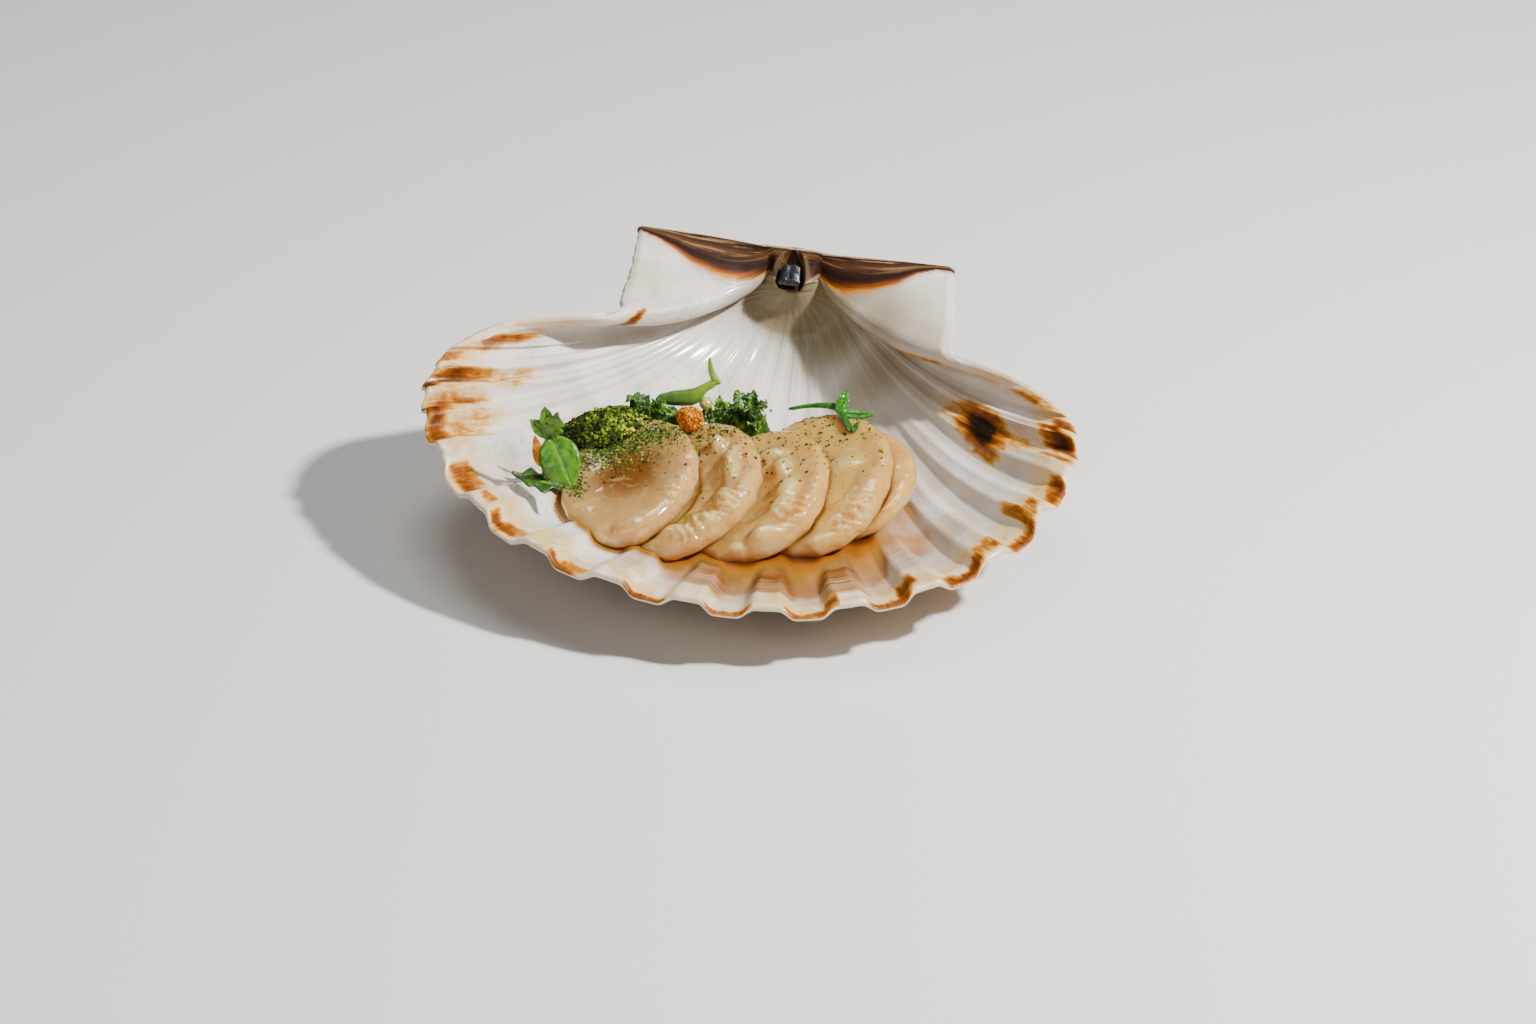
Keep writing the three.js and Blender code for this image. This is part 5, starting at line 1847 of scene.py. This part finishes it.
def over(piece: Piece, count: int, seed: int) -> tuple[Array, Array]:
    """Random places all over a piece.

    Args:
        piece: what carries them.
        count: how many.
        seed: of the draw.

    Returns:
        Points and normals.
    """
    draw = np.random.default_rng(seed)
    work = bmesh.new()
    work.from_mesh(piece.data)
    bmesh.ops.triangulate(work, faces=work.faces[:])
    corners = np.array([[v.co[:] for v in f.verts] for f in work.faces]) / MM
    normals = np.array([f.normal[:] for f in work.faces])
    work.free()
    area = np.linalg.norm(np.cross(corners[:, 1] - corners[:, 0], corners[:, 2] - corners[:, 0]), axis=1)
    chosen = draw.choice(len(area), count, p=area / area.sum())
    a, b = draw.random((2, count, 1))
    flip = a + b > 1
    a, b = np.where(flip, 1 - a, a), np.where(flip, 1 - b, b)
    c = corners[chosen]
    return c[:, 0] * (1 - a - b) + c[:, 1] * a + c[:, 2] * b, normals[chosen]


# Where herb crumbs have spilt over the slices: from, to, how many, how far they stray.
SPILLS = (
    ((-30.5, -11.5), (-18.0, -5.0), 900, 1.2), ((-31.0, -15.5), (-29.0, -20.5), 260, 1.1),
    ((-19.0, -4.5), (-11.0, -7.0), 330, 1.3), ((-28.0, -13.0), (-16.0, -9.0), 260, 2.4),
    ((-10.0, -1.0), (-2.0, -1.5), 170, 1.2),
)


@dataclass
class Crumbs:
    """The herb mound, the orange ball, the flakes and the dust."""

    seed: int = 24
    mound_crumbs: int = 5200
    ball_grains: int = 620
    on_slices: tuple[int, ...] = (330, 130, 150, 330, 70)  # flakes, slice by slice
    specks: tuple[tuple[float, float, float, int], ...] = (  # x, y, how far they stray and how many
        (-12, 24, 16, 420), (-40, 2, 14, 90), (-38, -20, 8, 160), (30, 8, 14, 30))
    bowl: tuple[float, float, float] = (50, -44, 38)  # specks stay within this half width, front and back

    def core(self, node: str, name: str, cell: float) -> tuple[Piece, Array]:
        """A node's form as a finer mesh, with its points before they are made uneven."""
        piece = copy_of(node, name)
        remesh(piece, cell, 2)
        return piece, points_of(piece)

    def mound(self) -> tuple[Piece, Piece]:
        """The mound's core and its crumbs."""
        core, points = self.core("herb_mound", "herb_mound_core", 0.5)
        swell(core, 0.5 * grain(points, 2.2, 2) + 0.3 * grain(points, 1.0, 3) - 0.3)
        paint(core, tone=0.2 + 0.3 * grain(points, 1.5, 5))
        finish = MOSS.material()
        crumbs = Scatter("herb_mound_crumbs", 5, 0)
        places, normals = over(core, self.mound_crumbs, self.seed)
        draw = np.random.default_rng(self.seed)
        for p, n, c in zip(places, normals, grain(places, 2.4, 8)):
            if n[2] < -0.3:
                continue
            r = 0.13 + 0.42 * draw.random() ** 3
            tone = 0.42 + 0.7 * c + 0.4 * (draw.random() - 0.5) + 0.03 * (p[0] + 27.5) + 0.02 * (p[2] - 20)
            size = (r, r * (0.6 + 0.4 * draw.random()), r * 0.7)
            crumbs.add(p + n * r * 0.4, n, size, ONCE_ROUND * draw.random(), tone)
        return finished(core, finish), crumbs.build(finish)

    def ball(self) -> tuple[Piece, Piece]:
        """The orange crumbly ball: a core with grains on it."""
        core, points = self.core("crumb_ball", "orange_ball_core", 0.25)
        swell(core, 0.16 * grain(points, 0.8, 3) - 0.1)
        paint(core, tone=0.45 + 0.3 * grain(points, 0.9, 6))
        finish = ORANGE.material()
        grains = Scatter("orange_ball_grains", 4, 9, 0.35)
        places, normals = over(core, self.ball_grains, self.seed + 1)
        draw = np.random.default_rng(self.seed + 1)
        for p, n in zip(places, normals):
            r = 0.14 + 0.2 * draw.random()
            grains.add(p + n * r * 0.3, n, (r, r, r * 0.8), ONCE_ROUND * draw.random(), 0.25 + 0.7 * draw.random())
        return finished(core, finish), grains.build(finish)

    def bead(self) -> Piece:
        """The clear green bead beside the sprout."""
        piece = copy_of("bead", "green_bead")
        remesh(piece, 0.14, 6)
        pen = Pen("bead")
        pen.surface(Base_Color=pen.ramp(pen.noise(0.9, 2), (0.35, "#9aa53a"), (0.6, "#bcc468"), (0.75, "#dde0a4")),
                    Roughness=0.12, Transmission_Weight=0.35, Subsurface_Weight=0.5, Subsurface_Scale=0.002,
                    Coat_Weight=0.8, Coat_Roughness=0.04)
        pen.bump(pen.noise(0.6, 2), 0.1)
        return finished(piece, pen.material)

    def flakes(self, slices: Sequence[Slice], carried: BVHTree) -> Piece:
        """Dried herb on the slices' upper halves.

        Args:
            slices: what is dusted.
            carried: the dressed surfaces.

        Returns:
            The piece.
        """
        draw = np.random.default_rng(self.seed + 2)
        bits = Scatter("herb_flakes", 5, 20)
        for k, (dusted, count) in enumerate(zip(slices, self.on_slices)):
            for _ in range(count):
                x = (draw.random() * 2 - 1) * dusted.width * 0.48
                y = dusted.length * (0.47 - 0.42 * abs(draw.normal()) * (0.75 if k else 0.5))
                self.drop(bits, carried, draw, dusted.world(np.array([x, y, 0.0])), 0.16, 0.5)
        for a, b, count, spread in SPILLS:
            for _ in range(count):
                point = np.array(a) + (np.array(b) - np.array(a)) * draw.random() + spread * draw.normal(size=2)
                self.drop(bits, carried, draw, point, 0.14, 0.4)
        return bits.build(DRIED.material())

    def dust(self, carried: BVHTree) -> Piece:
        """Loose specks on the shell.

        Args:
            carried: the shell's surface.

        Returns:
            The piece.
        """
        draw = np.random.default_rng(self.seed + 3)
        bits = Scatter("loose_specks", 3, 40)
        half, front, back = self.bowl
        for x, y, spread, count in self.specks:
            for _ in range(count):
                point = np.array([x + spread * draw.normal() * 0.6, y + spread * draw.normal() * 0.6])
                if abs(point[0]) < half and front < point[1] < back:
                    self.drop(bits, carried, draw, point, 0.06, 0.2)
        return bits.build(SPECK.material())

    def drop(self, bits: Scatter, carried: BVHTree, draw: np.random.Generator, point: Array, least: float,
             most: float) -> None:
        """Lays one flake on what is under a point.

        Args:
            bits: what it is added to.
            carried: the surface that may be under it.
            draw: gives its size, turn and tone.
            point: where it falls.
            least: its smallest half length.
            most: its largest.
        """
        hit, normal, _, _ = carried.ray_cast(Vector((point[0], point[1], 60.0)), Vector((0, 0, -1)))
        if hit is None:
            return
        r = least + (most - least) * draw.random() ** 2
        if normal.z < 0:
            normal = -normal
        size = (r, r * (0.45 + 0.4 * draw.random()), r * 0.3)
        bits.add(np.array(hit) + np.array(normal) * 0.04, np.array(normal), size, ONCE_ROUND * draw.random(),
                 draw.random() ** 1.5)


# ------------------------------------------------------------------ stage


@dataclass
class Studio:
    """Pale floor, soft light and the camera."""

    camera_at: Point = (107.5, -602.9, 328.6)
    look_at: Point = (2.61, 6.23, 0.0)
    lens: float = 84.2
    sensor: float = 36.0
    floor_half: float = 3000.0
    floor_colour: str = "#dcdad6"
    sky_colour: str = "#e8ebf0"
    sky_strength: float = 0.07
    lamps: tuple[tuple[str, Point, float, float], ...] = (  # name, place, width and power in watts
        ("key", (545, -80, 585), 55, 16), ("top", (-60, 160, 700), 380, 2.4), ("front", (-200, -700, 420), 520, 1.6))

    def build(self) -> None:
        """Builds the stage."""
        bpy.ops.object.select_all(action="DESELECT")
        bpy.ops.mesh.primitive_plane_add(size=2 * self.floor_half * MM, location=(0, 0, 0))
        floor = bpy.context.object
        floor.name = "floor"
        pen = Pen("floor")
        pen.surface(Base_Color=self.floor_colour, Roughness=0.7)
        floor.data.materials.append(pen.material)
        world = bpy.data.worlds.new("studio")
        bpy.context.scene.world = world
        world.use_nodes = True
        sky = world.node_tree.nodes["Background"].inputs
        sky["Color"].default_value, sky["Strength"].default_value = rgb(self.sky_colour), self.sky_strength
        for name, at, width, power in self.lamps:
            light = bpy.data.lights.new(name, "AREA")
            light.energy, light.size = power, width * MM
            self.aim(linked(name, light), at, -Vector(at))
        camera = bpy.data.cameras.new("camera")
        camera.lens, camera.sensor_width = self.lens, self.sensor
        camera.clip_start, camera.clip_end = 0.05, 20
        bpy.context.scene.camera = linked("camera", camera)
        ahead = (Vector(self.look_at) - Vector(self.camera_at)).normalized()
        self.aim(bpy.context.scene.camera, self.camera_at, ahead)

    def aim(self, holder: Piece, at: Point, ahead: Vector) -> None:
        """Puts a lamp or the camera at a place, looking ahead."""
        holder.location = Vector(at) * MM
        holder.rotation_euler = ahead.to_track_quat("-Z", "Y").to_euler()


def keep(piece: Piece, slot: str, *nodes: str) -> Piece:
    """Hands a finished piece to the frame.

    Args:
        piece: the piece.
        slot: the record's slot of its finish; not used.
        nodes: the nodes it stands for.

    Returns:
        The piece.
    """
    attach(piece, "root")
    if nodes:
        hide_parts(*nodes)
    LOG.info("%s: %d faces", piece.name, len(piece.data.polygons))
    return piece


def main() -> None:
    """Builds the dressed scallop."""
    logging.basicConfig(level=logging.INFO, format="%(name)s %(message)s")
    Studio().build()
    shell = Shell()
    body = keep(shell.build(), "shell", "shell")
    keep(Ligament().build(), "ligament", "ligament")
    flesh = Flesh().material()
    slices = [keep(each.build(flesh), "flesh", each.node) for each in SLICES]
    sauce = Sauce(shell)
    sauce.wet(slices)
    keep(sauce.build(surface_of(slices)), "sauce", "sauce")
    for sprig in GARNISH:
        keep(sprig.build(), sprig.node, sprig.node)
    kale = KALE.material()
    keep(Tuft("kale_left", (-23.2, -3.0, 21.6), 4.4, 3).build(kale), "kale", "kale_left")
    keep(Tuft("kale_right", (-4.5, 2.6, 19.4), 4.3, 5).build(kale), "kale", "kale_right")
    keep(loose_bits("dark_leaf_bits", DARK_BITS, kale), "kale")
    keep(loose_bits("light_leaf_bits", LIGHT_BITS, LIGHT_LEAF.material()), "kale")
    crumbs = Crumbs()
    for slot, (core, loose) in (("herb_mound", crumbs.mound()), ("crumb_ball", crumbs.ball())):
        keep(core, slot, slot)
        keep(loose, slot)
    keep(crumbs.bead(), "bead", "bead")
    keep(crumbs.flakes(SLICES, surface_of(slices)), "herb_mound")
    keep(crumbs.dust(surface_of([body])), "herb_mound")


if __name__ == "__main__":
    main()
